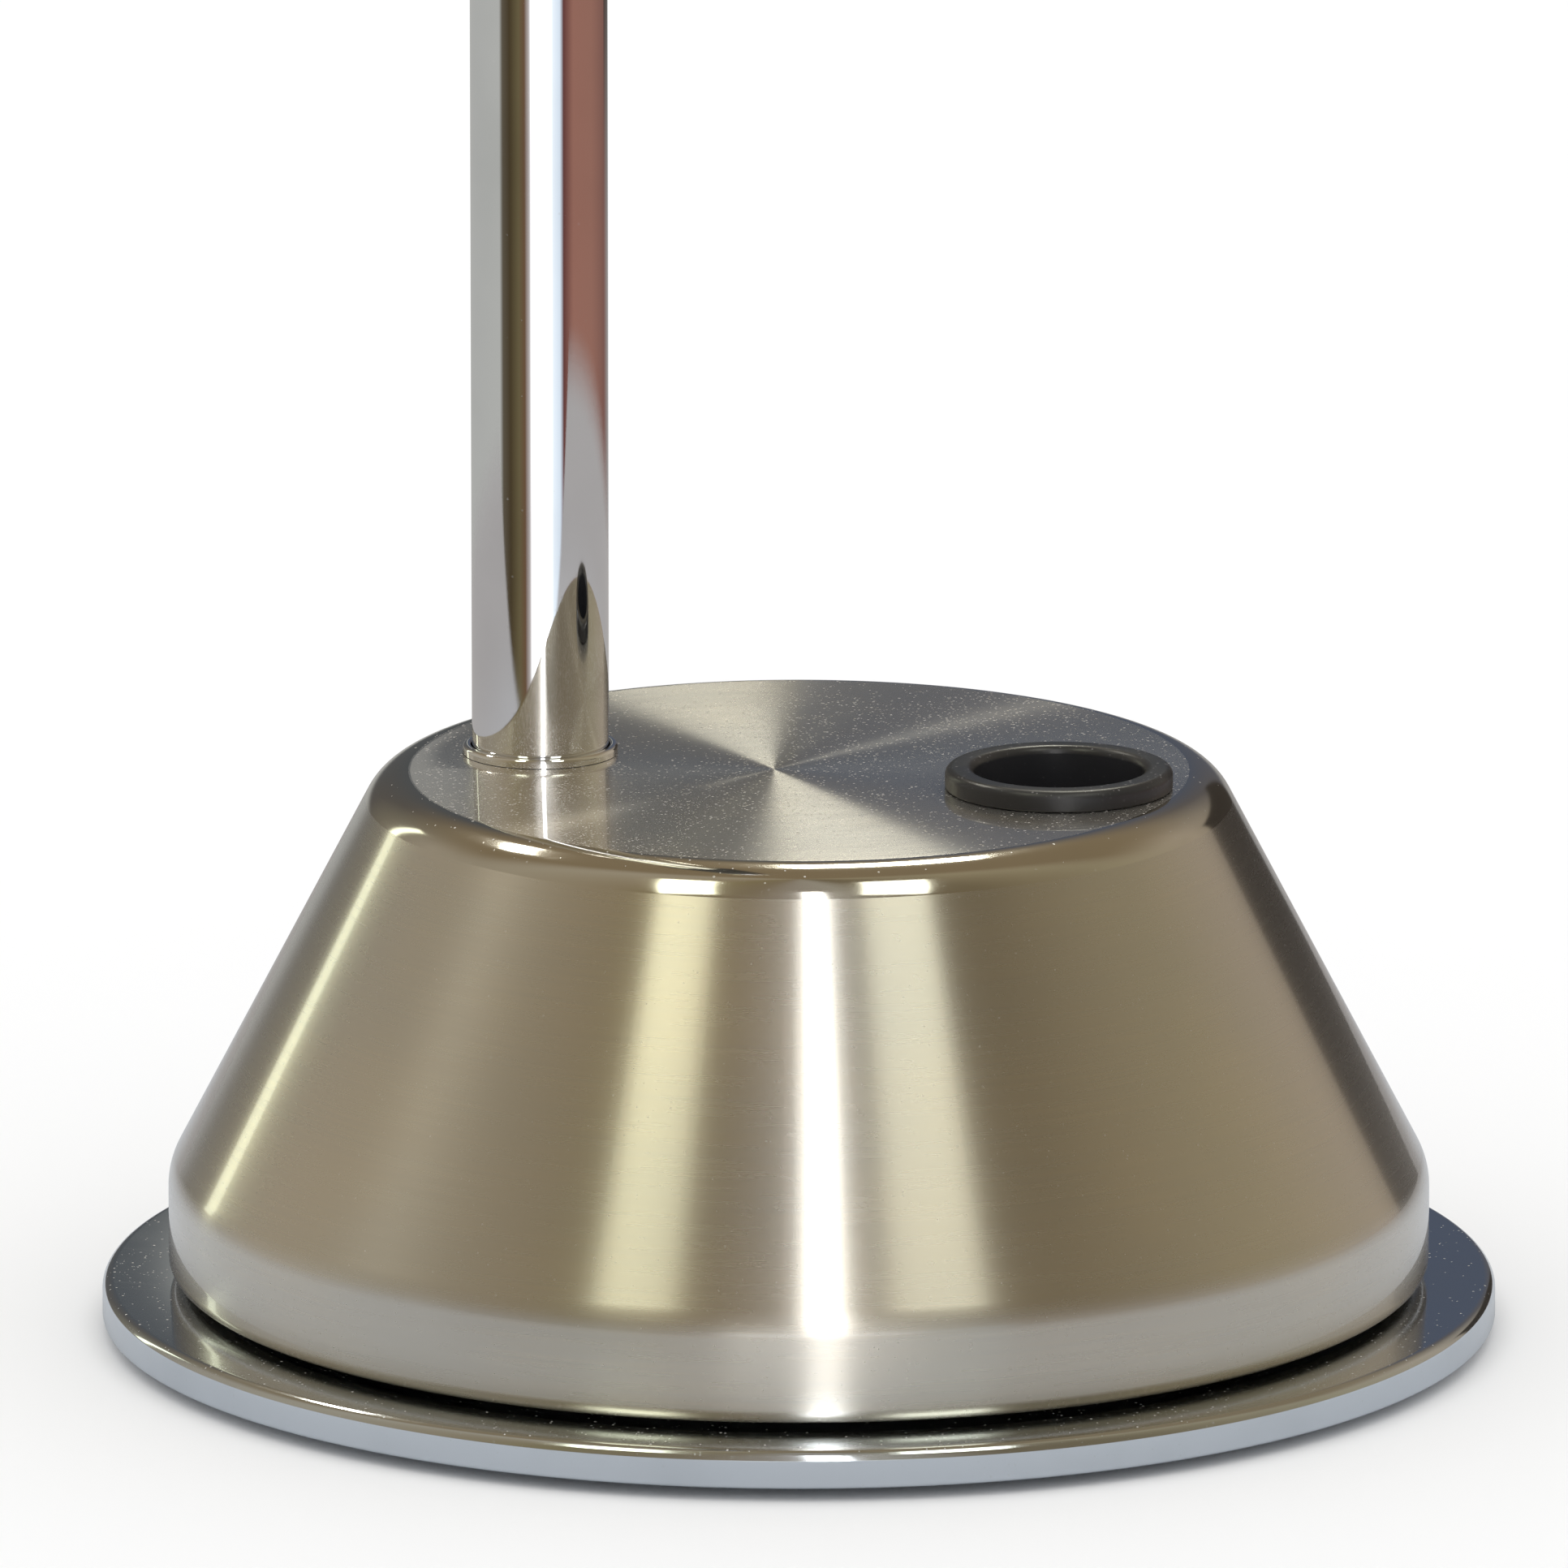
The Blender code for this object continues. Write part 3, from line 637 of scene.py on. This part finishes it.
def make_shell_tree():
    """The body, one wall thick: flat top, round shoulder, cone, upright band and curled lip."""
    inputs = [
        ("Foot Radius", FLOAT, 0.07),
        ("Flat Radius", FLOAT, 0.04),
        ("Bottom", FLOAT, 0.0),
        ("Top", FLOAT, 0.06),
        ("Band Height", FLOAT, 0.012),
        ("Lean", FLOAT, 0.5),
        ("Wall", FLOAT, 0.0015),
        ("Shoulder Round", FLOAT, 0.006),
        ("Band Round", FLOAT, 0.007),
        ("Curl Round", FLOAT, 0.0018),
        ("Lip Width", FLOAT, 0.003),
        ("Sides", INTEGER, 64),
        ("Upright Place", VECTOR, None),
        ("Upright Hole", FLOAT, 0.008),
        ("Socket Place", VECTOR, None),
        ("Socket Hole", FLOAT, 0.011),
        ("Cone Finish", MATERIAL, None),
        ("Top Finish", MATERIAL, None),
        ("Shoulder Finish", MATERIAL, None),
        ("Inside Finish", MATERIAL, None),
    ]
    tree, given, out = new_group("Turned shell", GEOMETRY_TREE, inputs, [("Geometry", GEOMETRY)])
    foot, top, wall, lean = (given[key] for key in ("Foot Radius", "Top", "Wall", "Lean"))
    cosine = maths(tree, "COSINE", lean)
    sine = maths(tree, "SINE", lean)
    half_turn = maths(tree, "SUBTRACT", math.pi / 4, maths(tree, "MULTIPLY", lean, 0.5))
    round_by = maths(tree, "TANGENT", half_turn)
    shoulder = maths(tree, "MULTIPLY_ADD", given["Shoulder Round"], round_by, given["Flat Radius"])
    band_top = maths(tree, "ADD", given["Bottom"], given["Band Height"])
    reach = maths(tree, "MULTIPLY_ADD", cosine, shoulder, maths(tree, "MULTIPLY", sine, top))
    inner_reach = maths(tree, "SUBTRACT", reach, wall)
    inner_top = maths(tree, "SUBTRACT", top, wall)
    inner_foot = maths(tree, "SUBTRACT", foot, wall)
    inner_shoulder = maths(tree, "SUBTRACT", inner_reach, maths(tree, "MULTIPLY", sine, inner_top))
    inner_shoulder = maths(tree, "DIVIDE", inner_shoulder, cosine)
    inner_band = maths(tree, "SUBTRACT", inner_reach, maths(tree, "MULTIPLY", cosine, inner_foot))
    inner_band = maths(tree, "DIVIDE", inner_band, sine)
    inner_shoulder_round = maths(tree, "SUBTRACT", given["Shoulder Round"], wall)
    inner_band_round = maths(tree, "SUBTRACT", given["Band Round"], wall)
    lip = maths(tree, "SUBTRACT", foot, given["Lip Width"])
    lip_top = maths(tree, "ADD", given["Bottom"], wall)
    corners = [
        (at(tree, 0.0, top), 0.0),
        (at(tree, shoulder, top), given["Shoulder Round"]),
        (at(tree, foot, band_top), given["Band Round"]),
        (at(tree, foot, given["Bottom"]), given["Curl Round"]),
        (at(tree, lip, given["Bottom"]), 0.0),
        (at(tree, lip, lip_top), 0.0),
        (at(tree, inner_foot, lip_top), 0.0),
        (at(tree, inner_foot, inner_band), inner_band_round),
        (at(tree, inner_shoulder, inner_top), inner_shoulder_round),
        (at(tree, 0.0, inner_top), 0.0),
    ]
    body = revolve(tree, draw_outline(tree, corners, 14), given["Sides"])

    holes = []
    for name in ("Upright", "Socket"):
        size = {"Vertices": SMALL_SIDES, "Radius": given[name + " Hole"], "Depth": 8 * MM}
        drill = add(tree, "GeometryNodeMeshCylinder", size).outputs[0]
        place = vectors(tree, "ADD", given[name + " Place"], joined(tree, 0.0, 0.0, top))
        moved = {"Geometry": drill, "Translation": place}
        holes.append(add(tree, "GeometryNodeTransform", moved).outputs[0])
    cut = {"operation": "DIFFERENCE", "solver": "EXACT"}
    drilled = add(tree, "GeometryNodeMeshBoolean", {"Mesh 1": body}, **cut)
    for hole in holes:
        tree.links.new(hole, drilled.inputs["Mesh 2"])
    body = drilled.outputs[0]

    # Which finish a face takes, from where it lies and which way it points.
    where = parts(tree, add(tree, "GeometryNodeInputPosition").outputs[0])
    normal = parts(tree, add(tree, "GeometryNodeInputNormal").outputs[0])
    squared = maths(tree, "MULTIPLY", where["Y"], where["Y"])
    radius = maths(tree, "SQRT", maths(tree, "MULTIPLY_ADD", where["X"], where["X"], squared))
    raised = maths(tree, "MULTIPLY", where["Z"], sine)
    outward = maths(tree, "MULTIPLY_ADD", radius, cosine, raised)
    cone_edge = maths(tree, "SUBTRACT", reach, maths(tree, "MULTIPLY", wall, 0.4))
    on_cone = maths(tree, "GREATER_THAN", outward, cone_edge)
    on_top = maths(tree, "GREATER_THAN", where["Z"], maths(tree, "SUBTRACT", top, SAME_PLACE))
    half_wall_in = maths(tree, "SUBTRACT", foot, maths(tree, "MULTIPLY", wall, 0.5))
    on_band = maths(tree, "GREATER_THAN", radius, half_wall_in)
    above_cone = maths(tree, "GREATER_THAN", normal["Z"], maths(tree, "ADD", sine, 0.02))
    curl_top = maths(tree, "ADD", given["Bottom"], given["Curl Round"])
    curled = maths(tree, "LESS_THAN", where["Z"], curl_top)
    just_inside = maths(tree, "MULTIPLY_ADD", wall, 0.1, inner_top)
    near_top = maths(tree, "GREATER_THAN", where["Z"], just_inside)
    outside = maths(tree, "MAXIMUM", on_cone, on_band)
    for also in (near_top, curled):
        outside = maths(tree, "MAXIMUM", outside, also)
    above_band = maths(tree, "GREATER_THAN", where["Z"], band_top)
    on_shoulder = maths(tree, "MULTIPLY", above_cone, outside)
    on_shoulder = maths(tree, "MULTIPLY", on_shoulder, above_band)
    for finish, chosen in (
        ("Inside Finish", None),
        ("Cone Finish", outside),
        ("Shoulder Finish", on_shoulder),
        ("Top Finish", on_top),
    ):
        inputs = {"Geometry": body, "Material": given[finish]}
        if chosen is not None:
            inputs["Selection"] = chosen
        body = add(tree, "GeometryNodeSetMaterial", inputs).outputs[0]
    settle(tree, body, out)
    return tree


def make_ribbed_tree():
    """A sleeve or ring whose outside is grooved in even steps along its length."""
    inputs = [
        ("Inner Radius", FLOAT, 0.008),
        ("Outer Radius", FLOAT, 0.011),
        ("Bottom", FLOAT, 0.0),
        ("Top", FLOAT, 0.1),
        ("Ribs", INTEGER, 20),
        ("Groove Depth", FLOAT, 0.0007),
        ("Plain End", FLOAT, 0.006),
        ("End Round", FLOAT, 0.0012),
        ("Sides", INTEGER, 64),
        ("Place", VECTOR, None),
        ("Finish", MATERIAL, None),
    ]
    tree, given, out = new_group("Ribbed sleeve", GEOMETRY_TREE, inputs, [("Geometry", GEOMETRY)])
    inner, outer = given["Inner Radius"], given["Outer Radius"]
    low, high = given["Bottom"], given["Top"]
    corners = [
        (at(tree, inner, high), 0.0),
        (at(tree, outer, high), given["End Round"]),
        (at(tree, outer, low), given["End Round"]),
        (at(tree, inner, low), 0.0),
    ]
    steps = maths(tree, "MULTIPLY", given["Ribs"], 22.0)
    finely = {"Curve": draw_outline(tree, corners, 6, closed=True), "Count": steps}
    outline = add(tree, "GeometryNodeResampleCurve", finely, mode="COUNT").outputs[0]
    where = parts(tree, add(tree, "GeometryNodeInputPosition").outputs[0])
    first = maths(tree, "ADD", low, given["Plain End"])
    last = maths(tree, "SUBTRACT", high, given["Plain End"])
    along = spread(tree, where["Y"], first, last, 0.0, given["Ribs"], smooth=False)
    wave = maths(tree, "COSINE", maths(tree, "MULTIPLY", along, math.tau))
    groove = spread(tree, wave, 0.35, -0.75, 0.0, given["Groove Depth"])
    near_outside = maths(tree, "SUBTRACT", outer, 0.05 * MM)
    at_outside = maths(tree, "GREATER_THAN", where["X"], near_outside)
    inward = maths(tree, "MULTIPLY", maths(tree, "MULTIPLY", groove, at_outside), -1.0)
    grooved = {"Geometry": outline, "Offset": at(tree, inward, 0.0)}
    outline = add(tree, "GeometryNodeSetPosition", grooved).outputs[0]
    body = revolve(tree, outline, given["Sides"])
    moved = {"Geometry": body, "Translation": given["Place"]}
    body = add(tree, "GeometryNodeTransform", moved).outputs[0]
    finished = {"Geometry": body, "Material": given["Finish"]}
    settle(tree, add(tree, "GeometryNodeSetMaterial", finished).outputs[0], out)
    return tree


def cone_lean():
    """How far the cone's outward normal points above level."""
    across = SHELL_R - FLAT_R
    down = (SHELL_Z + BAND_H) - (SHELL_TOP - SHOULDER_R)
    return math.atan2(down, across) + math.acos(SHOULDER_R / math.hypot(across, down))


# ---------------------------------------------------------------- the standing pieces
def make_plate():
    low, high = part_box("base_plate")
    _, seat_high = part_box("slide_ring")
    outline = rounded(
        [
            (PLATE_BORE_R, low.z, 0.0),
            (high.x, low.z, PLATE_FOOT_R),
            (high.x, high.z, PLATE_EDGE_R),
            (seat_high.x + SMALL_BREAK, high.z, 0.0),
            (seat_high.x + SMALL_BREAK, high.z - GROOVE_DOWN, 0.0),
            (GROOVE_IN_R, high.z - GROOVE_DOWN, 0.0),
            (GROOVE_IN_R, high.z, 0.0),
            (PLATE_BORE_R, high.z, 0.0),
        ]
    )
    plate = turned("polished_plate", outline, finishes["plate"], sides=BIG_SIDES)
    stands_for(plate, "base", "base_plate")


# ---------------------------------------------------------------- the turning pieces
def make_shell():
    sizes = {
        "Foot Radius": SHELL_R,
        "Flat Radius": FLAT_R,
        "Bottom": SHELL_Z,
        "Top": SHELL_TOP,
        "Band Height": BAND_H,
        "Lean": cone_lean(),
        "Wall": SHELL_WALL,
        "Shoulder Round": SHOULDER_R,
        "Band Round": BAND_BLEND_R,
        "Curl Round": CURL_R,
        "Lip Width": LIP_W,
        "Sides": BIG_SIDES,
        "Upright Place": (upright_at.x, upright_at.y, 0.0),
        "Upright Hole": UPRIGHT_HOLE_R,
        "Socket Place": (socket_at.x, socket_at.y, 0.0),
        "Socket Hole": SOCKET_HOLE_R,
        "Cone Finish": finishes["cone"],
        "Top Finish": finishes["top"],
        "Shoulder Finish": finishes["shoulder"],
        "Inside Finish": finishes["inside"],
    }
    shell = run_tree("turned_shell", make_shell_tree(), sizes, 30.0)
    stands_for(shell, "body", "shell")


def make_upright():
    low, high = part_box("upright_tube")
    radius = (high.x - low.x) / 2
    outline = rounded(
        [
            (radius - TUBE_WALL, low.z, 0.0),
            (radius, low.z, SMALL_BREAK),
            (radius, high.z, SMALL_BREAK),
            (radius - TUBE_WALL, high.z, 0.0),
        ],
        steps=4,
    )
    tube = turned("chrome_upright", outline, finishes["chrome"], upright_at)
    stands_for(tube, "body", "upright_tube")

    low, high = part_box("upright_collar")
    outer = (high.x - low.x) / 2
    inner = radius + COLLAR_FIT
    foot = low.z - COLLAR_SUNK
    collar = rounded(
        [
            (inner, foot, 0.0),
            (outer, foot, 0.0),
            (outer, high.z, COLLAR_ROUND),
            (inner, high.z, SMALL_BREAK),
        ],
        steps=8,
    )
    ring = turned("foot_collar", collar, finishes["chrome"], upright_at)
    stands_for(ring, "body", "upright_collar")


def make_knob():
    low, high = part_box("knob")
    radius = (high.x - low.x) / 2
    centre_z = high.z - radius
    start = -math.acos(KNOB_NECK_R / radius)
    steps = 40
    bore_top = low.z + KNOB_BORE_H
    bore = ((0.0, bore_top), (KNOB_BORE_R, bore_top), (KNOB_BORE_R, low.z))
    outline = [Vector(corner) for corner in bore] + rounded_rim(KNOB_NECK_R, low.z)
    for step in range(steps + 1):
        angle = start + (math.pi / 2 - start) * step / steps
        outline.append(Vector((radius * math.cos(angle), centre_z + radius * math.sin(angle))))
    outline[-1].x = 0.0
    knob = turned("ball_knob", outline, finishes["chrome"], upright_at)
    stands_for(knob, "body", "knob")


def rounded_rim(radius, z):
    """A small bead at the foot of the knob's neck."""
    points = []
    for step in range(9):
        angle = math.radians(-90 + 22.5 * step)
        across = radius - KNOB_BEAD_R + KNOB_BEAD_R * math.cos(angle)
        points.append(Vector((across, z + KNOB_BEAD_R + KNOB_BEAD_R * math.sin(angle))))
    return points


def make_grip():
    low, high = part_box("grip_sleeve")
    sizes = {
        "Inner Radius": (high.x - low.x) / 2 - GRIP_WALL,
        "Outer Radius": (high.x - low.x) / 2,
        "Bottom": low.z,
        "Top": high.z,
        "Ribs": GRIP_RIBS,
        "Groove Depth": RIB_DEPTH,
        "Plain End": GRIP_END,
        "End Round": GRIP_END_ROUND,
        "Sides": SMALL_SIDES,
        "Place": (upright_at.x, upright_at.y, 0.0),
        "Finish": finishes["grip"],
    }
    grip = run_tree("ribbed_grip", make_ribbed_tree(), sizes, 50.0)
    stands_for(grip, "body", "grip_sleeve")


def make_socket():
    low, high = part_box("socket_bush")
    lip = (high.x - low.x) / 2
    outer = SOCKET_R + SOCKET_WALL
    seat = SHELL_TOP + BUSH_LIFT
    outline = rounded(
        [
            (SOCKET_R, low.z, 0.0),
            (outer, low.z, 0.0),
            (outer, seat, 0.0),
            (lip, seat, BUSH_FOOT_ROUND),
            (lip, high.z, LIP_ROUND),
            (SOCKET_R, high.z, LIP_ROUND),
        ]
    )
    bush = turned("rubber_bush", outline, finishes["rubber"], socket_at)
    stands_for(bush, "body", "socket_bush")

    low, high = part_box("socket_sleeve")
    outline = rounded(
        [
            (SOCKET_R, low.z, 0.0),
            (outer, low.z, 0.0),
            (outer, high.z, 0.0),
            (SOCKET_R, high.z, SMALL_BREAK),
        ],
        steps=4,
    )
    liner = turned("steel_liner", outline, finishes["steel"], socket_at)
    stands_for(liner, "body", "socket_sleeve")

    low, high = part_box("socket_pad")
    radius = (high.x - low.x) / 2
    outline = rounded(
        [
            (0.0, low.z, 0.0),
            (radius, low.z, 0.0),
            (radius, high.z, PAD_ROUND),
            (0.0, high.z, 0.0),
        ]
    )
    pad = turned("landing_pad", outline, finishes["rubber"], socket_at)
    stands_for(pad, "body", "socket_pad")


def finish_packed_nodes():
    """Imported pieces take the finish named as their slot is. The shell's is replaced later."""
    slots = {item["node"]: item["material_slot"] for item in frame["record"]["subparts"]}
    for node, thing in frame["nodes"].items():
        thing.data.materials.clear()
        thing.data.materials.append(finishes.get(slots[node], finishes["chrome"]))


# ---------------------------------------------------------------- floor, light and camera
def direction(azimuth, elevation):
    """A unit vector by degrees round from the viewer, to the right, and degrees above level."""
    turn = view_round + math.radians(azimuth)
    rise = math.radians(elevation)
    level = Vector((math.sin(turn), -math.cos(turn), 0.0)) * math.cos(rise)
    return level + Vector((0.0, 0.0, math.sin(rise)))


def make_camera():
    back = direction(0.0, VIEW_HEIGHT)
    target = Vector((0.0, 0.0, LOOK_AT_Z))
    up = back.cross(view_right)
    aim = target + up * LOOK_UP - view_right * LOOK_LEFT
    camera = bpy.data.objects.new("camera", bpy.data.cameras.new("camera"))
    bpy.context.scene.collection.objects.link(camera)
    camera.location = target + back * VIEW_DISTANCE
    camera.rotation_mode = "QUATERNION"
    camera.rotation_quaternion = (aim - camera.location).to_track_quat("-Z", "Y")
    camera.data.lens = LENS
    camera.data.sensor_width = 36.0
    camera.data.clip_start = 0.05
    camera.data.clip_end = 50.0
    bpy.context.scene.camera = camera


# What polished faces see round the room, in degrees round from the viewer: below and above level.
LOW_ROOM = [
    (-180, (0.45, 0.45, 0.43)),
    (-70, (0.49, 0.49, 0.46)),
    (-64, (0.12, 0.10, 0.07)),
    (-50, (0.07, 0.05, 0.025)),
    (-34, (0.15, 0.12, 0.06)),
    (-24, (0.16, 0.09, 0.05)),
    (-16, (0.55, 0.50, 0.48)),
    (-10, (2.4, 2.4, 2.4)),
    (14, (2.4, 2.4, 2.5)),
    (24, (1.0, 1.08, 1.15)),
    (36, (0.80, 0.90, 1.0)),
    (42, (0.14, 0.05, 0.045)),
    (60, (0.34, 0.16, 0.12)),
    (100, (0.33, 0.16, 0.12)),
    (140, (0.22, 0.11, 0.09)),
    (165, (0.36, 0.35, 0.34)),
    (180, (0.36, 0.35, 0.34)),
]
HIGH_ROOM = [
    (-180, (0.09, 0.10, 0.11)),
    (-158, (0.12, 0.11, 0.10)),
    (-147, (0.20, 0.18, 0.14)),
    (-120, (0.42, 0.37, 0.29)),
    (-90, (0.42, 0.37, 0.28)),
    (-58, (0.33, 0.27, 0.18)),
    (-42, (0.27, 0.22, 0.12)),
    (-16, (0.26, 0.21, 0.14)),
    (-2, (0.36, 0.32, 0.27)),
    (14, (0.40, 0.37, 0.31)),
    (34, (0.20, 0.16, 0.10)),
    (56, (0.21, 0.17, 0.105)),
    (78, (0.30, 0.25, 0.16)),
    (100, (0.38, 0.33, 0.22)),
    (132, (0.46, 0.39, 0.30)),
    (150, (0.30, 0.26, 0.21)),
    (164, (0.13, 0.12, 0.12)),
    (180, (0.085, 0.105, 0.15)),
]
# Soft-edged patches of the room, painted one over another: degrees round from the viewer and
# degrees up, half width, half height and edge in degrees, colour, strength.
LAMPS = [
    ("ceiling", 180.0, 68.0, 75.0, 36.0, 12.0, (0.27, 0.21, 0.13), 1.0),
    ("window", 5.0, 28.0, 3.1, 30.0, 0.7, (1.0, 1.0, 1.0), 6.0),
    ("far_left_tube", -136.0, 14.0, 2.0, 12.0, 0.7, (0.95, 0.97, 0.72), 2.6),
    ("grey_wall", -178.2, 14.0, 0.55, 1.8, 0.15, (0.42, 0.41, 0.37), 1.3),
    ("dark_door", 153.0, 1.0, 13.0, 13.0, 1.0, (0.05, 0.042, 0.035), 1.0),
]
# Flat lamps overhead. Each shows on round-brushed metal as a wedge between two angles, in degrees
# round from the viewer. It hangs between two distances, on a sphere of radius 1 seen from above,
# from where a level mirror looks. Then its colour and strength.
OVERHEAD = [
    ("big_lamp", -1.0, 26.0, 0.26, 0.44, (1.0, 0.98, 0.84), 19.0),
    ("small_lamp", -44.0, -39.5, 0.46, 0.74, (1.0, 0.97, 0.85), 18.0),
    ("left_tube", -18.5, -11.0, 1.15, 1.60, (0.95, 0.95, 0.72), 3.9),
    ("right_tube", 8.3, 17.0, 1.15, 1.60, (0.95, 0.95, 0.80), 3.6),
]
LAMP_DISTANCE = 4.0
TABLE_FRONT = 190 * MM
TABLE_TURNED = 12.4
TABLE_EDGE = 8 * MM
TABLE_TONES = (100 * MM, 300 * MM)
TABLE_FADE = (350 * MM, 420 * MM)
TABLE_LIFT = 0.2 * MM
FLOOR_R = 30.0
DISC_SIDES = 128
DAYLIGHT = 1.05
WHITE = (1.0, 1.0, 1.0)


def make_lamp_group():
    """How much of a soft-edged, rectangular lamp lies in a direction."""
    inputs = [
        ("Round", FLOAT, 0.0),
        ("Up", FLOAT, 0.0),
        ("Lamp Round", FLOAT, 0.0),
        ("Lamp Up", FLOAT, 0.0),
        ("Half Width", FLOAT, 5.0),
        ("Half Height", FLOAT, 5.0),
        ("Softness", FLOAT, 2.0),
    ]
    group, given, out = new_group("Soft lamp", SHADER_TREE, inputs, [("Mask", FLOAT)])
    apart = maths(group, "SUBTRACT", given["Round"], given["Lamp Round"])
    apart = maths(group, "WRAP", apart, 180.0, -180.0)
    above = maths(group, "SUBTRACT", given["Up"], given["Lamp Up"])
    sides = []
    for value, half in ((apart, given["Half Width"]), (above, given["Half Height"])):
        outer = maths(group, "ADD", half, given["Softness"])
        inner = maths(group, "SUBTRACT", half, given["Softness"])
        sides.append(spread(group, maths(group, "ABSOLUTE", value), outer, inner))
    group.links.new(maths(group, "MULTIPLY", *sides), out["Mask"])
    return group


def room_ramp(tree, round_share, room):
    node = add(tree, "ShaderNodeValToRGB", {0: round_share})
    ramp = node.color_ramp
    while len(ramp.elements) > 1:
        ramp.elements.remove(ramp.elements[-1])
    for number, (azimuth, colour) in enumerate(room):
        spot = azimuth / 360 + 0.5
        element = ramp.elements[0] if number == 0 else ramp.elements.new(spot)
        element.position = spot
        element.color = rgba(colour)
    return node.outputs[0]


def make_world():
    """Even white light on the floor, and for polished faces a room with its window and lamps."""
    world = bpy.data.worlds.new("studio")
    bpy.context.scene.world = world
    world.use_nodes = True
    world.cycles.sampling_method = "NONE"
    tree = world.node_tree
    tree.nodes.clear()
    towards = add(tree, "ShaderNodeTexCoord").outputs["Generated"]
    about_up = {"Vector": towards, "Axis": (0.0, 0.0, 1.0), "Angle": -view_round}
    facing = add(tree, "ShaderNodeVectorRotate", about_up, rotation_type="AXIS_ANGLE")
    split = parts(tree, facing.outputs[0])
    nearer = maths(tree, "MULTIPLY", split["Y"], -1.0)
    round_angle = maths(tree, "ARCTAN2", split["X"], nearer)
    share = maths(tree, "MULTIPLY_ADD", round_angle, 1 / math.tau, 0.5)
    degrees_round = maths(tree, "MULTIPLY", round_angle, 180 / math.pi)
    degrees_up = maths(tree, "MULTIPLY", maths(tree, "ARCSINE", split["Z"]), 180 / math.pi)

    low = room_ramp(tree, share, LOW_ROOM)
    high = room_ramp(tree, share, HIGH_ROOM)
    room = mix_colour(tree, spread(tree, degrees_up, -5.0, 1.0), low, high)
    lamp_group = make_lamp_group()
    for name, lamp_round, lamp_up, half_width, half_height, softness, colour, strength in LAMPS:
        inputs = {
            "Round": degrees_round,
            "Up": degrees_up,
            "Lamp Round": lamp_round,
            "Lamp Up": lamp_up,
            "Half Width": half_width,
            "Half Height": half_height,
            "Softness": softness,
        }
        lamp = place_group(tree, lamp_group, inputs)
        lamp.label = name
        bright = rgba(channel * strength for channel in colour)
        room = mix_colour(tree, lamp.outputs[0], room, bright)

    rays = add(tree, "ShaderNodeLightPath").outputs
    even = mix_colour(tree, rays["Is Diffuse Ray"], room, rgba((DAYLIGHT,) * 3))
    seen = mix_colour(tree, rays["Is Camera Ray"], even, rgba(WHITE))
    light = add(tree, "ShaderNodeBackground", {"Color": seen, "Strength": 1.0})
    end = add(tree, "ShaderNodeOutputWorld")
    tree.links.new(light.outputs[0], end.inputs["Surface"])


def flat_disc(name, radius, z, finish):
    builder = bmesh.new()
    bmesh.ops.create_circle(builder, segments=DISC_SIDES, radius=radius, cap_ends=True)
    bmesh.ops.translate(builder, verts=builder.verts, vec=(0.0, 0.0, z))
    disc = link_mesh(name, builder, [finish])
    return disc


def hide_from_view(thing):
    """Leaves a stage piece to be seen only in polished faces."""
    thing.visible_camera = False
    thing.visible_diffuse = False
    thing.visible_shadow = False
    thing.visible_transmission = False


def make_overhead_lamps():
    mirrored = math.cos(math.radians(VIEW_HEIGHT))
    for name, first, last, near, far, colour, strength in OVERHEAD:
        finish, _, shader, _ = new_material(name, 0.0)
        shader.inputs["Base Color"].default_value = rgba((0.0, 0.0, 0.0))
        shader.inputs["Emission Color"].default_value = rgba(colour)
        shader.inputs["Emission Strength"].default_value = strength
        builder = bmesh.new()
        corners = []
        for side, reach in ((first, near), (first, far), (last, far), (last, near)):
            across = math.sin(math.radians(side)) * reach
            away = mirrored - math.cos(math.radians(side)) * reach
            towards = view_right * across + view_away * away
            towards.z = math.sqrt(1.0 - across**2 - away**2)
            corners.append(builder.verts.new(towards * LAMP_DISTANCE))
        builder.faces.new(corners)
        lamp = link_mesh(name, builder, [finish])
        hide_from_view(lamp)


def make_floor():
    """A pale floor for the eye and for shadows, and a grey table for polished faces to mirror."""
    matt = {"Roughness": 0.9, "Specular_IOR_Level": 0.0}
    pale, _, shader, _ = new_material("pale_floor", 0.0, **matt)
    shader.inputs["Base Color"].default_value = rgba((0.97, 0.97, 0.97))
    floor = flat_disc("floor", FLOOR_R, 0.0, pale)
    floor.visible_glossy = False

    grey, tree, shader, place = new_material("grey_table", 0.0, **matt)
    off = add(tree, "ShaderNodeVectorMath", {0: place}, operation="LENGTH").outputs["Value"]
    tone = spread(tree, off, *TABLE_TONES)
    forward = {0: place, 1: direction(-TABLE_TURNED, 0.0)}
    nearer = add(tree, "ShaderNodeVectorMath", forward, operation="DOT_PRODUCT").outputs["Value"]
    front = spread(tree, nearer, TABLE_FRONT + TABLE_EDGE, TABLE_FRONT - TABLE_EDGE)
    fade = spread(tree, off, TABLE_FADE[1], TABLE_FADE[0])
    finish = {
        "Base Color": mix_colour(tree, tone, rgba((0.62, 0.64, 0.67)), rgba((0.42, 0.40, 0.39))),
        "Alpha": maths(tree, "MULTIPLY", front, fade),
    }
    feed(tree, shader, finish)
    hide_from_view(flat_disc("mirrored_table", TABLE_FADE[1], TABLE_LIFT, grey))


finish_packed_nodes()
make_plate()
make_shell()
make_upright()
make_knob()
make_grip()
make_socket()
make_camera()
make_world()
make_overhead_lamps()
make_floor()
bpy.context.scene.view_settings.view_transform = "Standard"
